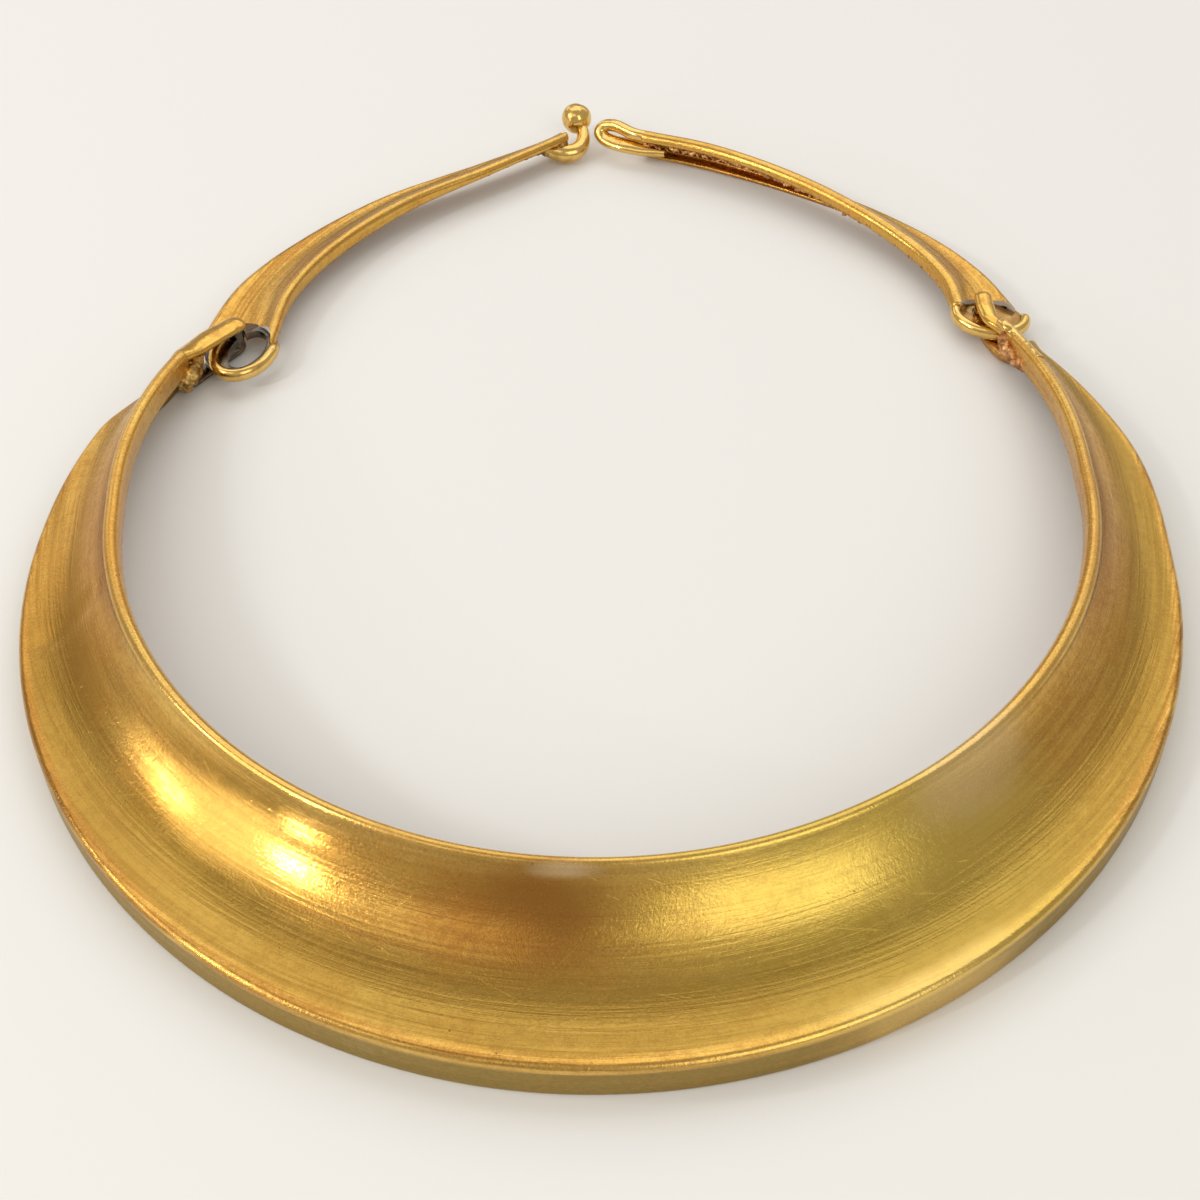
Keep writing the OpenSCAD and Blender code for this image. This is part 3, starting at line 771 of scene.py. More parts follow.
def pits(tree, given):
    """One pit in a share of the cells of a Voronoi pattern."""
    cells = add_node(tree, "ShaderNodeTexVoronoi", {
        "Vector": given["Place"], "Scale": 1.0 / given["Spacing"]}).outputs
    dice = Value(tree, add_node(tree, "ShaderNodeSeparateColor", {"Color": cells["Color"]}).outputs[0])
    near = 1.0 - Value(tree, cells["Distance"]).smooth(given["Pit size"] * 0.4, given["Pit size"])
    return near * dice.do("LESS_THAN", given["Share"])


def scratch(tree, given):
    waver = (noise(tree, given["Place"], 900.0, 2.0) - 0.5) * given["Width"] * 1.5
    off = distance_to_line(tree, given["Place"], given["Start"], given["End"]) + waver
    return 1.0 - off.smooth(given["Width"] * 0.4, given["Width"])


def zone(tree, given):
    """A soft oval field with a ragged border. It is full at 0.3 of its half size and gone at 1.1."""
    off = vectors(tree, "SUBTRACT", given["Place"], given["Centre"])
    far = vectors(tree, "LENGTH", vectors(tree, "DIVIDE", off, given["Half size"]))
    far = far + (noise(tree, given["Place"], 180.0, 3.0) - 0.5) * 0.5
    return 1.0 - far.smooth(0.3, 1.1)


PLACE, GRAIN = ("Place", "Vector", None), ("Grain", "Vector", None)
GROUPS = {}
for fill, inputs in (
        (brush_lines, [GRAIN, ("Fineness", "Float", 2500.0), ("Length", "Float", 40.0)]),
        (hairlines, [GRAIN, ("Cosine", "Float", 0.9), ("Sine", "Float", 0.436)]),
        (tarnish, [PLACE, ("Patch size", "Float", 8 * MM), ("Cover", "Float", 0.5)]),
        (pits, [PLACE, ("Spacing", "Float", 1.5 * MM), ("Pit size", "Float", 0.12), ("Share", "Float", 0.3)]),
        (scratch, [PLACE, ("Start", "Vector", None), ("End", "Vector", None), ("Width", "Float", 0.15 * MM)]),
        (zone, [PLACE, ("Centre", "Vector", None), ("Half size", "Vector", None)])):
    group, given, result = new_tree(fill.__name__, "ShaderNodeTree", inputs, [("Mask", "Float")])
    feed(group, result["Mask"], fill(group, given))
    GROUPS[fill.__name__] = group
print("shader groups:", sorted(GROUPS))

# %% [markdown]
# ## Painting a metal
#
# A finish starts with one colour and takes layer after layer of paint, each through its own mask. At
# the end its colour, roughness and relief go to the shader. Brass on the sheets is brushed along the
# grain, so its shine is stretched across it.

# %% The brasses and the solder
GOLD, AMBER, OLIVE = (0.72, 0.43, 0.095), (0.66, 0.32, 0.055), (0.62, 0.45, 0.095)
BROWN, DARK, PALE = (0.36, 0.15, 0.03), (0.08, 0.04, 0.015), (0.85, 0.62, 0.34)
STROKE_BROWN, VALLEY_BROWN, LIP_SHADE_BROWN = (0.30, 0.13, 0.02), (0.42, 0.20, 0.025), (0.34, 0.24, 0.065)
CHALK, WORN_AND_SHEEN, HOLLOW_SHADE_OLIVE = (0.95, 0.72, 0.42), (0.86, 0.60, 0.19), (0.34, 0.215, 0.04)
BRUSHED_SHINE = {"Anisotropic": 0.65, "Anisotropic Rotation": 0.25}


class Finish:
    """A metal in the making."""

    def __init__(self, name, base):
        self.metal = bpy.data.materials.new(name)
        self.metal.use_nodes = True
        self.tree, self.colour = self.metal.node_tree, base
        self.place = add_node(self.tree, "ShaderNodeTexCoord").outputs["Object"]

    def carried(self, label):
        """Three numbers that the sheet's tree left on the mesh."""
        return add_node(self.tree, "ShaderNodeAttribute", attribute_name=label).outputs["Vector"]

    def mask(self, group, **inputs):
        made = add_node(self.tree, "ShaderNodeGroup", node_tree=GROUPS[group])
        if "Place" in made.inputs:
            feed(self.tree, made.inputs["Place"], self.place)
        for label, item in inputs.items():
            feed(self.tree, made.inputs[label.replace("_", " ")], item)
        return Value(self.tree, made.outputs[0])

    def zone(self, centre, half_size):
        return self.mask("zone", Centre=millimetres(*centre), Half_size=millimetres(*half_size))

    def scratch(self, start, end, width):
        return self.mask("scratch", Start=millimetres(*start), End=millimetres(*end), Width=width * MM)

    def paint(self, mask, paint):
        mixed = add_node(self.tree, "ShaderNodeMix", data_type="RGBA")
        for slot, item in zip((0, 6, 7), (mask, self.colour, paint)):
            feed(self.tree, mixed.inputs[slot], (*item, 1.0) if isinstance(item, tuple) else item)
        self.colour = mixed.outputs[2]

    def done(self, rough, height, depth, strength, more=()):
        relief = add_node(self.tree, "ShaderNodeBump", {
            "Strength": strength, "Distance": depth, "Height": height})
        looks = {"Base Color": self.colour, "Metallic": 1.0, "Roughness": rough.clamp(),
                 "Normal": relief.outputs["Normal"], **dict(more)}
        for label, item in looks.items():
            feed(self.tree, self.tree.nodes["Principled BSDF"].inputs[label], item)
        return self.metal


def sheet_brass(name, marks=None):
    """Satin brass for rolled sheet. A function can add the marks and painted light that only one piece has."""
    brass = Finish(name, GOLD)
    grain = brass.carried("grain")
    rim, crest, under = split(brass.tree, brass.carried("place"))
    _, brass.lip, brass.down = split(brass.tree, brass.carried("lips"))
    lines = brass.mask("brush_lines", Grain=grain, Fineness=1500.0, Length=32.0)
    strokes = brass.mask("brush_lines", Grain=grain, Fineness=2400.0, Length=60.0).smooth(0.46, 0.60)
    strokes = strokes * (0.25 + brass.down * 0.65)
    brushed = (lines - 0.50).clamp() * (0.9 + brass.down * 1.6)
    hairs = brass.mask("hairlines", Grain=grain)
    cross_hairs = brass.mask("hairlines", Grain=grain, Cosine=0.62, Sine=-0.785)
    cloud = brass.mask("tarnish", Patch_size=9 * MM, Cover=0.45)
    fine_cloud = brass.mask("tarnish", Patch_size=1.1 * MM, Cover=0.42)
    hole = brass.mask("pits", Spacing=2.6 * MM, Pit_size=0.06, Share=0.22)
    brass.peel = noise(brass.tree, brass.place, 1.0 / (0.55 * MM), 2.0, 0.6)
    speckle = noise(brass.tree, brass.place, 1.0 / (0.30 * MM), 3.0, 0.65, 0.4)
    for mask, paint in (
            (cloud * 0.5, AMBER),
            (fine_cloud * 0.26, BROWN),
            ((rim + crest) * (0.15 + brass.peel * 0.5).clamp(), WORN_AND_SHEEN),
            ((brushed * 2.8).clamp(0.6), BROWN),
            (strokes * 0.62, STROKE_BROWN),
            (speckle.smooth(0.48, 0.72) * 0.30, WORN_AND_SHEEN),
            ((1.0 - speckle.smooth(0.28, 0.50)) * 0.38, BROWN),
            ((hairs * 0.22 + cross_hairs * 0.10).clamp(), WORN_AND_SHEEN),
            # painted shade: the underside of the sheet is painted half brown
            (under * 0.5, BROWN)):
        brass.paint(mask, paint)
    brass.height = (lines * (0.9 + brass.down) + brass.peel * 0.7 + speckle * 0.9
                    - strokes * 0.8 - hairs * 0.3 - cross_hairs * 0.2)
    brass.rough = 0.21 + cloud * 0.05 + (lines - 0.5) * 0.25 + fine_cloud * 0.06
    if marks:
        marks(brass)
    brass.paint(hole * 0.6, DARK)
    return brass.done(brass.rough, brass.height - hole, 0.03 * MM, 0.85, BRUSHED_SHINE)


def forged_brass(name, base, dark_share):
    """Rubbed brass for wires and bars, dark where dirt stays."""
    brass = Finish(name, base)
    cloud = brass.mask("tarnish", Patch_size=3.0 * MM, Cover=dark_share)
    fine_cloud = brass.mask("tarnish", Patch_size=0.8 * MM, Cover=0.35)
    hole = brass.mask("pits", Spacing=1.3 * MM, Pit_size=0.10, Share=0.3)
    for mask, paint in ((cloud * 0.6, BROWN), (fine_cloud * 0.2, AMBER), (hole * 0.7, DARK)):
        brass.paint(mask, paint)
    return brass.done(0.17 + cloud * 0.12 + fine_cloud * 0.05, fine_cloud * 0.5 - hole, 0.03 * MM, 0.4)


def hard_solder(name, light, dark):
    solder = Finish(name, light)
    cloud = solder.mask("tarnish", Patch_size=1.0 * MM, Cover=0.5)
    hole = solder.mask("pits", Spacing=0.6 * MM, Pit_size=0.20, Share=0.4)
    solder.paint(cloud * 0.85, dark)
    solder.paint(hole * 0.8, DARK)
    return solder.done(0.28 + cloud * 0.2, cloud - hole, 0.05 * MM, 0.7)


print("finishes that can be made:", [f.__name__ for f in (sheet_brass, forged_brass, hard_solder)])

# %% [markdown]
# ## Painted reflections, painted shade and wear on the collar
#
# The broad fields are painted reflections and painted shade: the front is painted browner round the middle
# and at both sides, amber at the left side and olive on the right, with one pale field as a painted
# highlight. The left patch is polished, and its gold field is partly its clean colour and partly a painted
# reflection. The outer half of the hollow, the crease under the rim and the outer lip get painted shade.
# There is a worn pale patch at the rim and one on the crest at the left front, a painted highlight along
# the crest at the right front, a few scratches and a handful of nicks. Each has its place on the metal, so
# it stays there when the collar is turned.

# %% Marks and painted light of the collar
COLLAR_ZONES = [  # colour, share, centre, half size
    # Rows down to the pale field are painted reflections and painted shade; the gold field is partly the
    # polished patch's clean colour and partly a painted reflection; the last two rows are wear.
    (BROWN, 0.68, (-6, -66.5, 9), (14, 9, 8)),
    (BROWN, 0.45, (-3, -65, 10), (8, 6, 5)),
    (OLIVE, 0.80, (32, -58, 8), (34, 26, 14)),
    (AMBER, 0.60, (-63, -18, 8), (12, 30, 9)),
    (BROWN, 0.50, (-63, -34, 4), (12, 20, 4)),
    (BROWN, 0.35, (-53, -53, 4), (14, 14, 4)),
    (BROWN, 0.40, (64, -10, 10), (9, 26, 5)),
    (PALE, 0.45, (41, -46, 11), (11, 12, 5)),
    (GOLD, 0.50, (-38, -54, 8), (14, 12, 9)),
    (CHALK, 0.65, (-1.6, -63.2, 13.1), (5.0, 1.2, 1.4)),
    (PALE, 0.5, (-21.6, -78.3, 2.6), (3.0, 2.0, 1.6))]
POLISHED_PATCH = ((-38, -54, 9), (18, 16, 9))
# where a painted highlight runs along the crest at the right front
CREST_HIGHLIGHT_FIELD = ((37, -70, 2), (18, 14, 6))
COLLAR_SCRATCHES = [  # colour, share, start, end, width
    (BROWN, 0.6, (-45.7, -51.5, 7.1), (-41.5, -57.0, 6.4), 0.22),
    (PALE, 0.5, (-27.2, -65.6, 6.5), (-23.4, -65.1, 7.4), 0.14),
    (DARK, 0.6, (-4.7, -62.7, 13.3), (-4.4, -63.3, 12.9), 0.22)]
COLLAR_SCRATCHES += [  # nicks
    (PALE, 0.6, (x, y, z), (x + 0.3, y, z), 0.22) for x, y, z in (
        (-7.5, -64.9, 10.8), (8.0, -64.6, 11.0), (-19.0, -66.6, 7.4), (-52.5, -42.8, 7.5),
        (-60.1, -33.9, 6.3))]


def collar_marks(brass):
    down, peel = brass.down, brass.peel     # down: how far across the hollow, from the rim to the crest
    # Painted reflections, painted shade and wear, field by field.
    for paint, share, centre, half_size in COLLAR_ZONES:
        brass.paint(brass.zone(centre, half_size) * share, paint)
    # Painted shade: the outer half of the hollow is painted darker olive, less at the left back, where the
    # window's reflection lies.
    outer_half = down.smooth(0.42, 0.72) * (1.0 - down.smooth(0.93, 1.0))
    x, y, _ = split(brass.tree, brass.place)
    left_back = (x * -1.0).smooth(40 * MM, 56 * MM) * y.smooth(-34 * MM, -14 * MM)
    brass.paint(outer_half * (0.62 - left_back * 0.45), HOLLOW_SHADE_OLIVE)

    # The valley at both sides is painted brown. The crease under the rim and the outer lip are painted darker:
    # painted shade.
    sideways = x.do("ABSOLUTE").smooth(46 * MM, 62 * MM)
    valley = down.smooth(0.0, 0.02) * (1.0 - down.smooth(0.04, 0.34)) * sideways
    crease = down.smooth(0.0, 0.012) * (1.0 - down.smooth(0.02, 0.045))
    brass.paint(valley * (0.55 + peel * 0.4), VALLEY_BROWN)
    # painted shade along the crease under the rim
    brass.paint(crease * (peel + 0.15).clamp() * (0.2 + sideways * 0.7), DARK)
    polished = brass.zone(*POLISHED_PATCH)
    crest_highlight = brass.zone(*CREST_HIGHLIGHT_FIELD)
    outer = brass.lip.smooth(0.02, 0.12) * (1.0 - crest_highlight * 0.75)
    # Painted highlight along the crest at the right front.
    brass.paint(crest_highlight * down.smooth(0.88, 0.97) * 0.8, WORN_AND_SHEEN)
    # painted shade on the outer lip, weaker under the crest's painted highlight
    brass.paint(outer * (0.55 + peel * 0.6).clamp(), LIP_SHADE_BROWN)
    brass.rough = brass.rough - polished * 0.10 + outer * 0.16
    brass.height = brass.height * (1.0 - polished * 0.55) + outer * peel * 3.0
    for paint, share, start, end, width in COLLAR_SCRATCHES:
        mask = brass.scratch(start, end, width)
        brass.paint(mask * share, paint)
        brass.height = brass.height - mask


COLLAR_BRASS = sheet_brass("collar_brass", collar_marks)
ARM_BRASS = sheet_brass("arm_brass")
WIRE_BRASS = forged_brass("wire_brass", (0.80, 0.54, 0.17), 0.28)
TONGUE_BRASS = forged_brass("tongue_brass", GOLD, 0.34)
# painted shade: the left leg and plate inside the eye are dark grey
HOLE_SHADE_BRASS = forged_brass("dark_brass", (0.13, 0.115, 0.095), 0.2)
RED_BRASS = forged_brass("red_brass", (0.62, 0.36, 0.13), 0.6)
# painted shade: the plate in the right eye's recess is olive-brown
RECESS_SHADE_BRASS = forged_brass("recess_brass", (0.42, 0.30, 0.12), 0.6)
SOLDER = hard_solder("hard_solder", (0.74, 0.48, 0.15), (0.20, 0.10, 0.03))
RED_SOLDER = hard_solder("red_solder", (0.80, 0.44, 0.18), (0.26, 0.09, 0.03))
SEAM_SOLDER = hard_solder("seam_solder", (0.40, 0.27, 0.09), (0.10, 0.06, 0.02))
print("materials:", [m.name for m in bpy.data.materials])

# %% [markdown]
# ## The front collar
#
# The tree turns the guide of the collar into the crescent. The shallow dent on the left side is pressed
# in along a line.

# %% The crescent
collar = run_tree("collar_sheet", sheet_guide("collar_guide", collar_stations, COLLAR_SHEET), ROLLED_SHEET, {
    "Sheet": COLLAR_SHEET * MM, "Wobble": 0.08 * MM, "Wobble size": 14 * MM,
    "Dent start": millimetres(-65.7, -25.9, 5.4), "Dent end": millimetres(-61.1, -21.1, 9.2),
    "Dent width": 3.0 * MM, "Dent depth": 0.25 * MM, "Metal": COLLAR_BRASS})
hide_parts("front_collar")
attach(collar, "front_collar")

# %% [markdown]
# ## Tongues
#
# At each end the rim runs on as a flat tongue that passes over the front of the eye and ends in a round
# tip. Below the tip a leg goes down through the eye, and a low bar leads back under the collar, where
# solder closes the loop. The arm swings on the leg. The tongue and the leg are two guides, because the
# flat tongue is wide and the leg is round. On the right a small rounded rim end lies over the root of
# the tongue.

# %% Tongues, legs and low bars
TONGUE_HALF_HEIGHT, TONGUE_TOP, TONGUE_BOTTOM = 0.78, 4.95, 0.86
ROOT_DEPTH, ROOT_SPAN, TIP_LENGTH = 1.1, 1.8, 1.5
START_HALF_WIDTH, ROOT_HALF_WIDTH = 0.95, 1.25
LEG_RADIUS, LEG_LOW, LEG_HIGH = 1.05, 1.9, 3.2
# Pivot, heading, metal of the leg, stops of the tongue and of the low bar. A stop is a point and a half width.
TONGUES = {
    # the left leg's metal is painted shade inside the eye
    "left": ((-53.8, 35.2), 58.0, HOLE_SHADE_BRASS,
             [((-58.0, 29.2, 5.65), 1.65), ((-56.4, 32.0, 5.25), 1.8), ((-54.8, 34.1, 5.0), 1.7)],
             [((-56.3, 31.8, 0.86), 1.1), ((-59.5, 27.2, 1.05), 1.3)]),
    "right": ((53.1, 43.2), 95.0, RED_BRASS,
              [((55.15, 36.2, 5.2), 1.2), ((53.7, 38.4, 5.1), 1.25), ((53.2, 41.2, 5.0), 1.3)],
              [((54.5, 38.4, 0.86), 1.3), ((56.5, 35.0, 0.95), 1.5)])}
RIM_END_HEADING, RIM_END_SPAN, RIM_END_LIFT = 112, 6, Vector((0, 0, 0.45))


def rim_middle(angle):
    a, radius = math.radians(angle), rim_radius(angle)
    return Vector((radius * math.sin(a), -radius * math.cos(a), rim_top(angle) - ROOT_DEPTH))


def bar_guide(name, stops, heading):
    """A guide for a flat bar. A stop is a point, a half height and a half width across the heading."""
    h = math.radians(heading)
    return guide_line(
        name, np.array([stop[0] for stop in stops]) * MM, half=[stop[1] * MM for stop in stops],
        stretch=[stop[2] / stop[1] for stop in stops], axis=[(-math.sin(h), math.cos(h), 0)] * len(stops))


def round_tip(point, heading, height, half_height, half_width, length):
    """Stops that close a bar with half an oval beyond a point."""
    ahead = Vector((math.cos(math.radians(heading)), math.sin(math.radians(heading)), 0))
    stops = []
    for share in (0.0, 0.35, 0.62, 0.82, 0.94, 0.995):
        narrow = math.sqrt(1 - share * share)
        place = Vector((*point, height)) + ahead * length * share
        stops.append((place, half_height * narrow, half_width * narrow))
    return stops


def bar_stops(line):
    return [(Vector(point), TONGUE_HALF_HEIGHT, width) for point, width in line]


for hand, (pivot, heading, leg_metal, line, low_line) in TONGUES.items():
    angle = END_ANGLE[0] if hand == "left" else END_ANGLE[1]
    root, start = rim_middle(angle), rim_middle(angle - math.copysign(ROOT_SPAN, angle))
    stops = bar_stops([(start, START_HALF_WIDTH), (root, ROOT_HALF_WIDTH), *line])
    stops += round_tip(pivot, heading, TONGUE_TOP, TONGUE_HALF_HEIGHT, line[-1][1], TIP_LENGTH)
    tongue = run_tree(hand + "_tongue", bar_guide(hand + "_tongue_line", stops, heading), FORGED_WIRE, {
        "Metal": TONGUE_BRASS, "Hammer marks": 0.07 * MM, "Mark size": 2.4 * MM, "Facets": 40})
    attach(tongue, "front_collar")

    # From the root down to the low bar, along it, and up through the eye to the tongue.
    near_bar, far_bar = bar_stops(low_line)
    stops = [(root - Vector((0, 0, 0.4)), 0.95, 0.95), (far_bar[0] + Vector((0, 0, 1.8)), 0.9, 0.95),
             far_bar, near_bar]
    stops += [(Vector((*pivot, height)), half_height, half_width) for height, half_height, half_width in (
        (TONGUE_BOTTOM, 0.8, 1.0), (LEG_LOW, LEG_RADIUS, LEG_RADIUS), (LEG_HIGH, LEG_RADIUS, LEG_RADIUS),
        (TONGUE_TOP - 0.2, 1.0, 1.0))]
    leg = run_tree(hand + "_leg", bar_guide(hand + "_leg_line", stops, heading), FORGED_WIRE, {
        "Metal": leg_metal, "Hammer marks": 0.06 * MM, "Facets": 36})
    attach(leg, "front_collar")

stops = [(rim_middle(END_ANGLE[1] - RIM_END_SPAN) + RIM_END_LIFT, 0.72, 0.72),
         (rim_middle(END_ANGLE[1]) + RIM_END_LIFT, 0.74, 0.74), (Vector((55.45, 35.4, 6.0)), 0.76, 0.76)]
stops += round_tip((54.9, 36.5), RIM_END_HEADING, 5.85, 0.76, 0.76, 0.9)
rim_end = run_tree("right_rim_end", bar_guide("right_rim_end_line", stops, RIM_END_HEADING), FORGED_WIRE, {
    "Metal": WIRE_BRASS, "Hammer marks": 0.12 * MM, "Mark size": 1.1 * MM})
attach(rim_end, "front_collar")

# %% [markdown]
# ## Arms
#
# Each arm is the same rolled sheet, narrower and thinner. An oval is cut out where the eye sits, and a
# round hole where the leg stands. A boolean with an upright prism does both.

# %% Sheets of the arms
EYES = {  # centre, half length, half width, half width of the wire, heading
    "left": ((-52.1, 32.1), 5.6, 4.0, 0.8, 74.0),
    "right": ((54.2, 41.8), 3.8, 4.95, 0.8, 72.0)}
EYE_HEIGHT, EYE_WIRE, LEG_HOLE = 2.9, 1.0, 1.35
EYE_INSET = 0.6             # share of the wire that the hole in the sheet stays clear of
OVAL_POINTS, HOLE_POINTS, PLATE_POINTS = 48, 32, 64
CUT_LOW, CUT_HIGH = -2, 12
CUT_SHARP, PLATE_SHARP, BEVEL_FROM = 45, 35, 50     # degrees


def oval(centre, half_along, half_across, heading, z, count):
    h = math.radians(heading)
    points = []
    for i in range(count):
        turn = math.tau * i / count
        along, across = half_along * math.cos(turn), half_across * math.sin(turn)
        points.append((centre[0] + along * math.cos(h) - across * math.sin(h),
                       centre[1] + along * math.sin(h) + across * math.cos(h), z))
    return points


def prism(name, outline, low, high):
    """An upright closed prism over an outline."""
    count = len(outline)
    points = [Vector((x, y, z)) * MM for z in (low, high) for x, y, _ in outline]
    faces = [list(range(count))[::-1], list(range(count, 2 * count))]
    faces += [[i, (i + 1) % count, (i + 1) % count + count, i + count] for i in range(count)]
    mesh = bpy.data.meshes.new(name)
    mesh.from_pydata(points, [], faces)
    return new_object(name, mesh)


def keep_result(piece, sharp):
    """Turns what the modifiers show into the piece's own mesh. Edges over that angle stay sharp."""
    seen = piece.evaluated_get(bpy.context.evaluated_depsgraph_get())
    made = bpy.data.meshes.new_from_object(seen)
    piece.modifiers.clear()
    old, piece.data = piece.data, made
    made.name = piece.name
    bpy.data.meshes.remove(old)
    made.set_sharp_from_angle(angle=math.radians(sharp))


def cut_holes(piece, outlines):
    cutters = [prism("cutter", outline, CUT_LOW, CUT_HIGH) for outline in outlines]
    for cutter in cutters:
        cut = piece.modifiers.new("hole", "BOOLEAN")
        cut.operation, cut.solver, cut.object = "DIFFERENCE", "MANIFOLD", cutter
    keep_result(piece, CUT_SHARP)
    for cutter in cutters:
        bpy.data.objects.remove(cutter)
    print(f"{piece.name}: {len(piece.data.polygons)} faces after {len(outlines)} cuts")


def leg_hole(hand):
    return oval(TONGUES[hand][0], LEG_HOLE, LEG_HOLE, 0, 0, HOLE_POINTS)


for hand, (centre, half_length, half_width, band, heading) in EYES.items():
    name = hand + "_arm_sheet"
    stations = arm_stations(hand)
    if hand == "left":
        stations = stations[::-1]       # it then runs the same way round as the collar and the right arm
    arm = run_tree(name, sheet_guide(name + "_guide", stations, ARM_SHEET), ROLLED_SHEET, {
        "Sheet": ARM_SHEET * MM, "Roll steps": 12, "Hollow steps": 14, "Lip steps": 4,
        "Wobble": 0.10 * MM, "Wobble size": 7 * MM, "Metal": ARM_BRASS})
    inset = band * EYE_INSET
    inside = oval(centre, half_length - inset, half_width - inset, heading, 0, OVAL_POINTS)
    cut_holes(arm, [inside, leg_hole(hand)])
    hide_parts(hand + "_arm")
    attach(arm, hand + "_arm")

# %% [markdown]
# ## Eyes and their plates
#
# The eyes are closed rings of wire. Inside each lies a thin plate with the hole for the leg, so the leg
# can't slide along the eye. The plates are plain prisms with their holes cut and their edges bevelled.
# The part of an eye that lies in the arm's sheet is thin and low, so it doesn't stand out of the sheet.

# %% Eyes and plates
PLATES = {  # centre, half length, half width, low, high, metal
    # both plates' metals are painted shade inside the eyes
    "left": ((-53.0, 32.4), 5.5, 4.6, 2.05, 3.25, HOLE_SHADE_BRASS),
    "right": ((54.2, 41.9), 3.7, 4.8, 2.05, 2.65, RECESS_SHADE_BRASS)}
LONG_HOLE = ((-51.7, 32.0), 4.2, 2.35)      # in the left plate
EYE_POINTS, EYE_DROP, EYE_THINNING = 24, 1.0, 0.45
PLATE_BEVEL = 0.12 * MM


def wire_guide(name, points, half, stretch=1.0, closed=False):
    count = len(points)
    return guide_line(name, np.array(points) * MM, closed, half=np.broadcast_to(half, count) * MM,
                      stretch=np.broadcast_to(stretch, count), axis=[(0, 0, 1)] * count)


def eye_guide(centre, half_length, half_width, band, heading):
    """A closed guide, lower and thinner where the eye lies in the arm's sheet."""
    line = oval(centre, half_length, half_width, heading, EYE_HEIGHT, EYE_POINTS)
    inside = [ease(math.cos(math.tau * i / EYE_POINTS), 0.15, 0.75) for i in range(EYE_POINTS)]
    points = [(x, y, z - EYE_DROP * share) for (x, y, z), share in zip(line, inside)]
    half = [band * (1 - EYE_THINNING * share) for share in inside]
    return wire_guide("eye_line", points, half, EYE_WIRE / band, closed=True)


for hand, (centre, half_length, half_width, band, heading) in EYES.items():
    eye = run_tree(hand + "_eye", eye_guide(centre, half_length, half_width, band, heading), FORGED_WIRE, {
        "Metal": WIRE_BRASS, "Hammer marks": 0.05 * MM, "Mark size": 2.2 * MM})
    cut_holes(eye, [leg_hole(hand)])
    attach(eye, hand + "_arm")
    centre, half_length, half_width, low, high, metal = PLATES[hand]
    plate = prism(hand + "_plate", oval(centre, half_length, half_width, heading, 0, PLATE_POINTS), low, high)
    plate.data.materials.append(metal)
    holes = [leg_hole(hand)]
    if hand == "left":
        holes.append(oval(*LONG_HOLE, heading, 0, OVAL_POINTS))
    cut_holes(plate, holes)
    edge = plate.modifiers.new("edge", "BEVEL")
    edge.width, edge.segments, edge.angle_limit = PLATE_BEVEL, 2, math.radians(BEVEL_FROM)
    keep_result(plate, PLATE_SHARP)
    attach(plate, hand + "_arm")

# %% [markdown]
# ## Hook and loop
#
# The left arm ends in a hook with a ball, which would snap into the loop of the right arm. In the
# photograph the clasp is open, so it is left open here.

# %% Wires of the clasp
CLASP_WIRES = [  # name, body, points, half widths, stretch upwards
    ("hook_wire", "left_arm",
     [(-13.6, 83.2, 3.3), (-11.0, 83.6, 2.3), (-9.0, 83.4, 2.0), (-7.4, 83.9, 2.1), (-6.5, 85.3, 2.5),
      (-6.3, 87.1, 3.0), (-6.7, 88.8, 3.6), (-7.1, 89.8, 4.0)],
     (0.6, 1.3, 1.45, 1.35, 1.2, 1.05, 0.95, 0.9), 1.0),
    ("end_loop", "right_arm",
     [(4.7, 83.8, 4.7), (1.8, 84.9, 4.8), (-0.8, 87.0, 4.8), (-2.7, 87.8, 4.4), (-3.6, 87.4, 3.6),
      (-3.1, 86.7, 3.0), (-1.6, 85.6, 2.8), (1.2, 84.4, 2.8), (4.6, 83.2, 2.8), (7.0, 82.2, 3.0)],
     (0.97, 0.97, 0.97, 0.97, 1.0, 1.2, 1.5, 1.6, 1.2, 0.6), (1, 1, 1, 1, 1, 0.8, 0.62, 0.6, 0.7, 1))]
for name, body, points, half, stretch in CLASP_WIRES:
    wire = run_tree(name, wire_guide(name + "_line", points, half, stretch), FORGED_WIRE, {
        "Metal": WIRE_BRASS, "Mark size": 2.4 * MM})
    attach(wire, body)

# %% [markdown]
# ## The ball
#
# The ball was cast or turned and has been knocked about. A fine sphere with a slow noise on it keeps a
# soft, uneven shine.

# %% The ball
BALL_MIDDLE, BALL_RADIUS, BALL_LUMPS = millimetres(-7.5, 89.95, 4.3), 2.42 * MM, 0.10 * MM
LUMP_WAVES, LUMP_START = 1.7, Vector((3.1, 0.4, 1.2))


def lumpy_ball(name, centre, radius, lumps, metal):
    shape = bmesh.new()
    bmesh.ops.create_icosphere(shape, subdivisions=5, radius=radius)
    for vertex in shape.verts:
        away = vertex.co.normalized()
        vertex.co += away * lumps * shape_noise.noise(away * LUMP_WAVES + LUMP_START) - away * lumps * 0.5
        vertex.co += Vector(centre)
    for face in shape.faces:
        face.smooth = True
    mesh = bpy.data.meshes.new(name)
    shape.to_mesh(mesh)
    shape.free()
    mesh.materials.append(metal)
    return new_object(name, mesh)


ball = lumpy_ball("ball", BALL_MIDDLE, BALL_RADIUS, BALL_LUMPS, WIRE_BRASS)
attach(ball, "left_arm")
print("ball points:", len(ball.data.vertices))

# %% [markdown]
# ## Solder at the joints
#
# Short guides run where each joint was made, and a point of a guide says how thick the solder is there.
# Thin runs make the crinkled seams under the rims of the arms. Every run has its own seed, so no two
# look alike.

# %% Solder runs
def seam(hand, start, end, count, drop, inwards, thick):
    """Stops below the rim of an arm, on the neck side."""
    stops = []
    for s in np.linspace(start, end, count):
        x, y, z, edge_x, edge_y = smooth_row(ARM_ROWS[hand], s)[:5]
        out = Vector((edge_x - x, edge_y - y)).normalized()
        stops.append((x - out[0] * inwards, y - out[1] * inwards, z - drop, thick))
    return stops


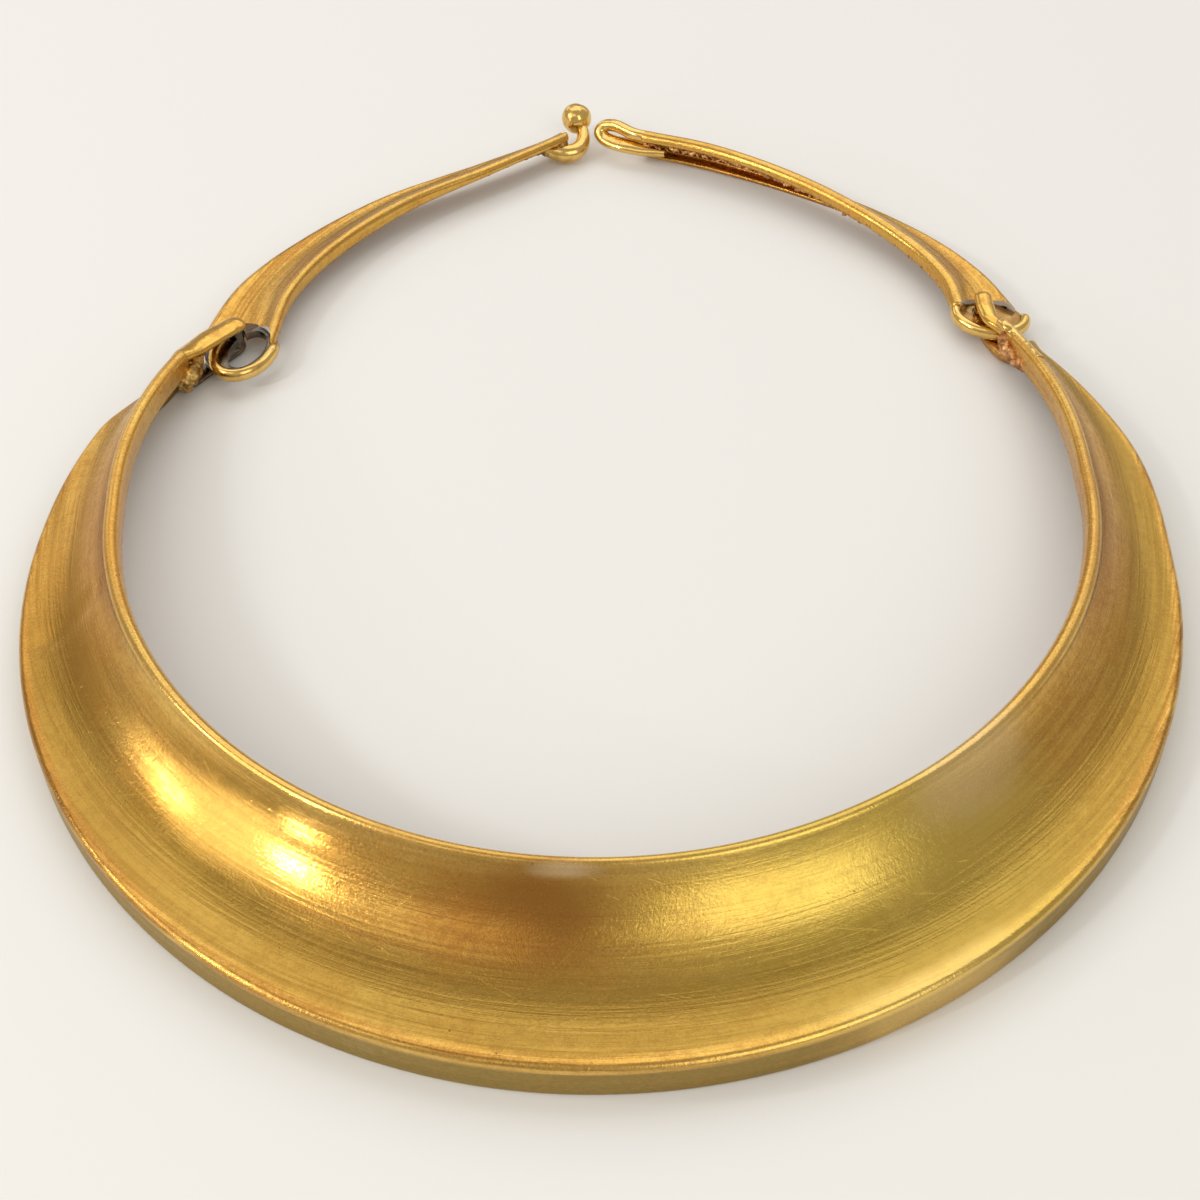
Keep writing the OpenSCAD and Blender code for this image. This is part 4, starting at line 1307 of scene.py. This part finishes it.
# Name, body, stops, lumps, smallest lump, spread, skin, seed, metal. A stop is a point and a half thickness.
SOLDER_RUNS = [
    ("left_end_solder", "front_collar",
     [(-57.8, 28.7, 4.6, 0.8), (-58.3, 27.2, 3.9, 1.1), (-58.7, 25.8, 3.6, 1.25), (-59.3, 24.2, 3.9, 0.9)],
     170, 0.35, 0.65, 0.10, 3, SOLDER),
    ("left_low_solder", "front_collar",
     [(-58.8, 26.8, 2.4, 0.8), (-59.3, 25.9, 2.3, 0.9), (-59.8, 24.8, 2.4, 0.9)],
     120, 0.35, 0.65, 0.10, 4, SOLDER),
    ("right_end_solder", "front_collar",
     [(55.4, 35.0, 4.9, 0.8), (56.0, 33.4, 3.6, 1.25), (56.9, 31.7, 3.5, 1.15), (57.8, 29.8, 4.0, 0.9),
      (58.9, 27.6, 4.9, 0.6)],
     190, 0.3, 0.6, 0.10, 5, RED_SOLDER),
    ("left_hook_solder", "left_arm",
     [(-13.2, 82.9, 3.0, 0.8), (-10.6, 83.8, 2.7, 1.0), (-9.0, 84.2, 3.0, 0.9)],
     60, 0.4, 0.5, 0.09, 7, SOLDER),
    ("right_loop_solder", "right_arm",
     [(5.0, 83.2, 2.7, 0.8), (4.2, 83.9, 3.6, 0.75), (4.2, 84.2, 4.5, 0.7)],
     50, 0.4, 0.5, 0.09, 9, RED_SOLDER),
    ("left_seam", "left_arm",
     seam("left", start=2.6, end=4.9, count=12, drop=1.15, inwards=0.45, thick=0.30),
     240, 0.3, 0.5, 0.08, 11, SEAM_SOLDER),
    ("right_seam", "right_arm",
     seam("right", start=1.0, end=5.95, count=22, drop=1.75, inwards=0.85, thick=0.36),
     340, 0.3, 0.7, 0.08, 13, RED_SOLDER)]
for name, body, stops, lumps, smallest, spread, skin, seed, metal in SOLDER_RUNS:
    stops = np.array(stops) * MM
    run = run_tree(name, guide_line(name + "_line", stops[:, :3], half=stops[:, 3]), SOLDER_RUN, {
        "Lumps": lumps, "Smallest lump": smallest, "Spread": spread, "Skin": skin * MM, "Seed": seed,
        "Metal": metal})
    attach(run, body)
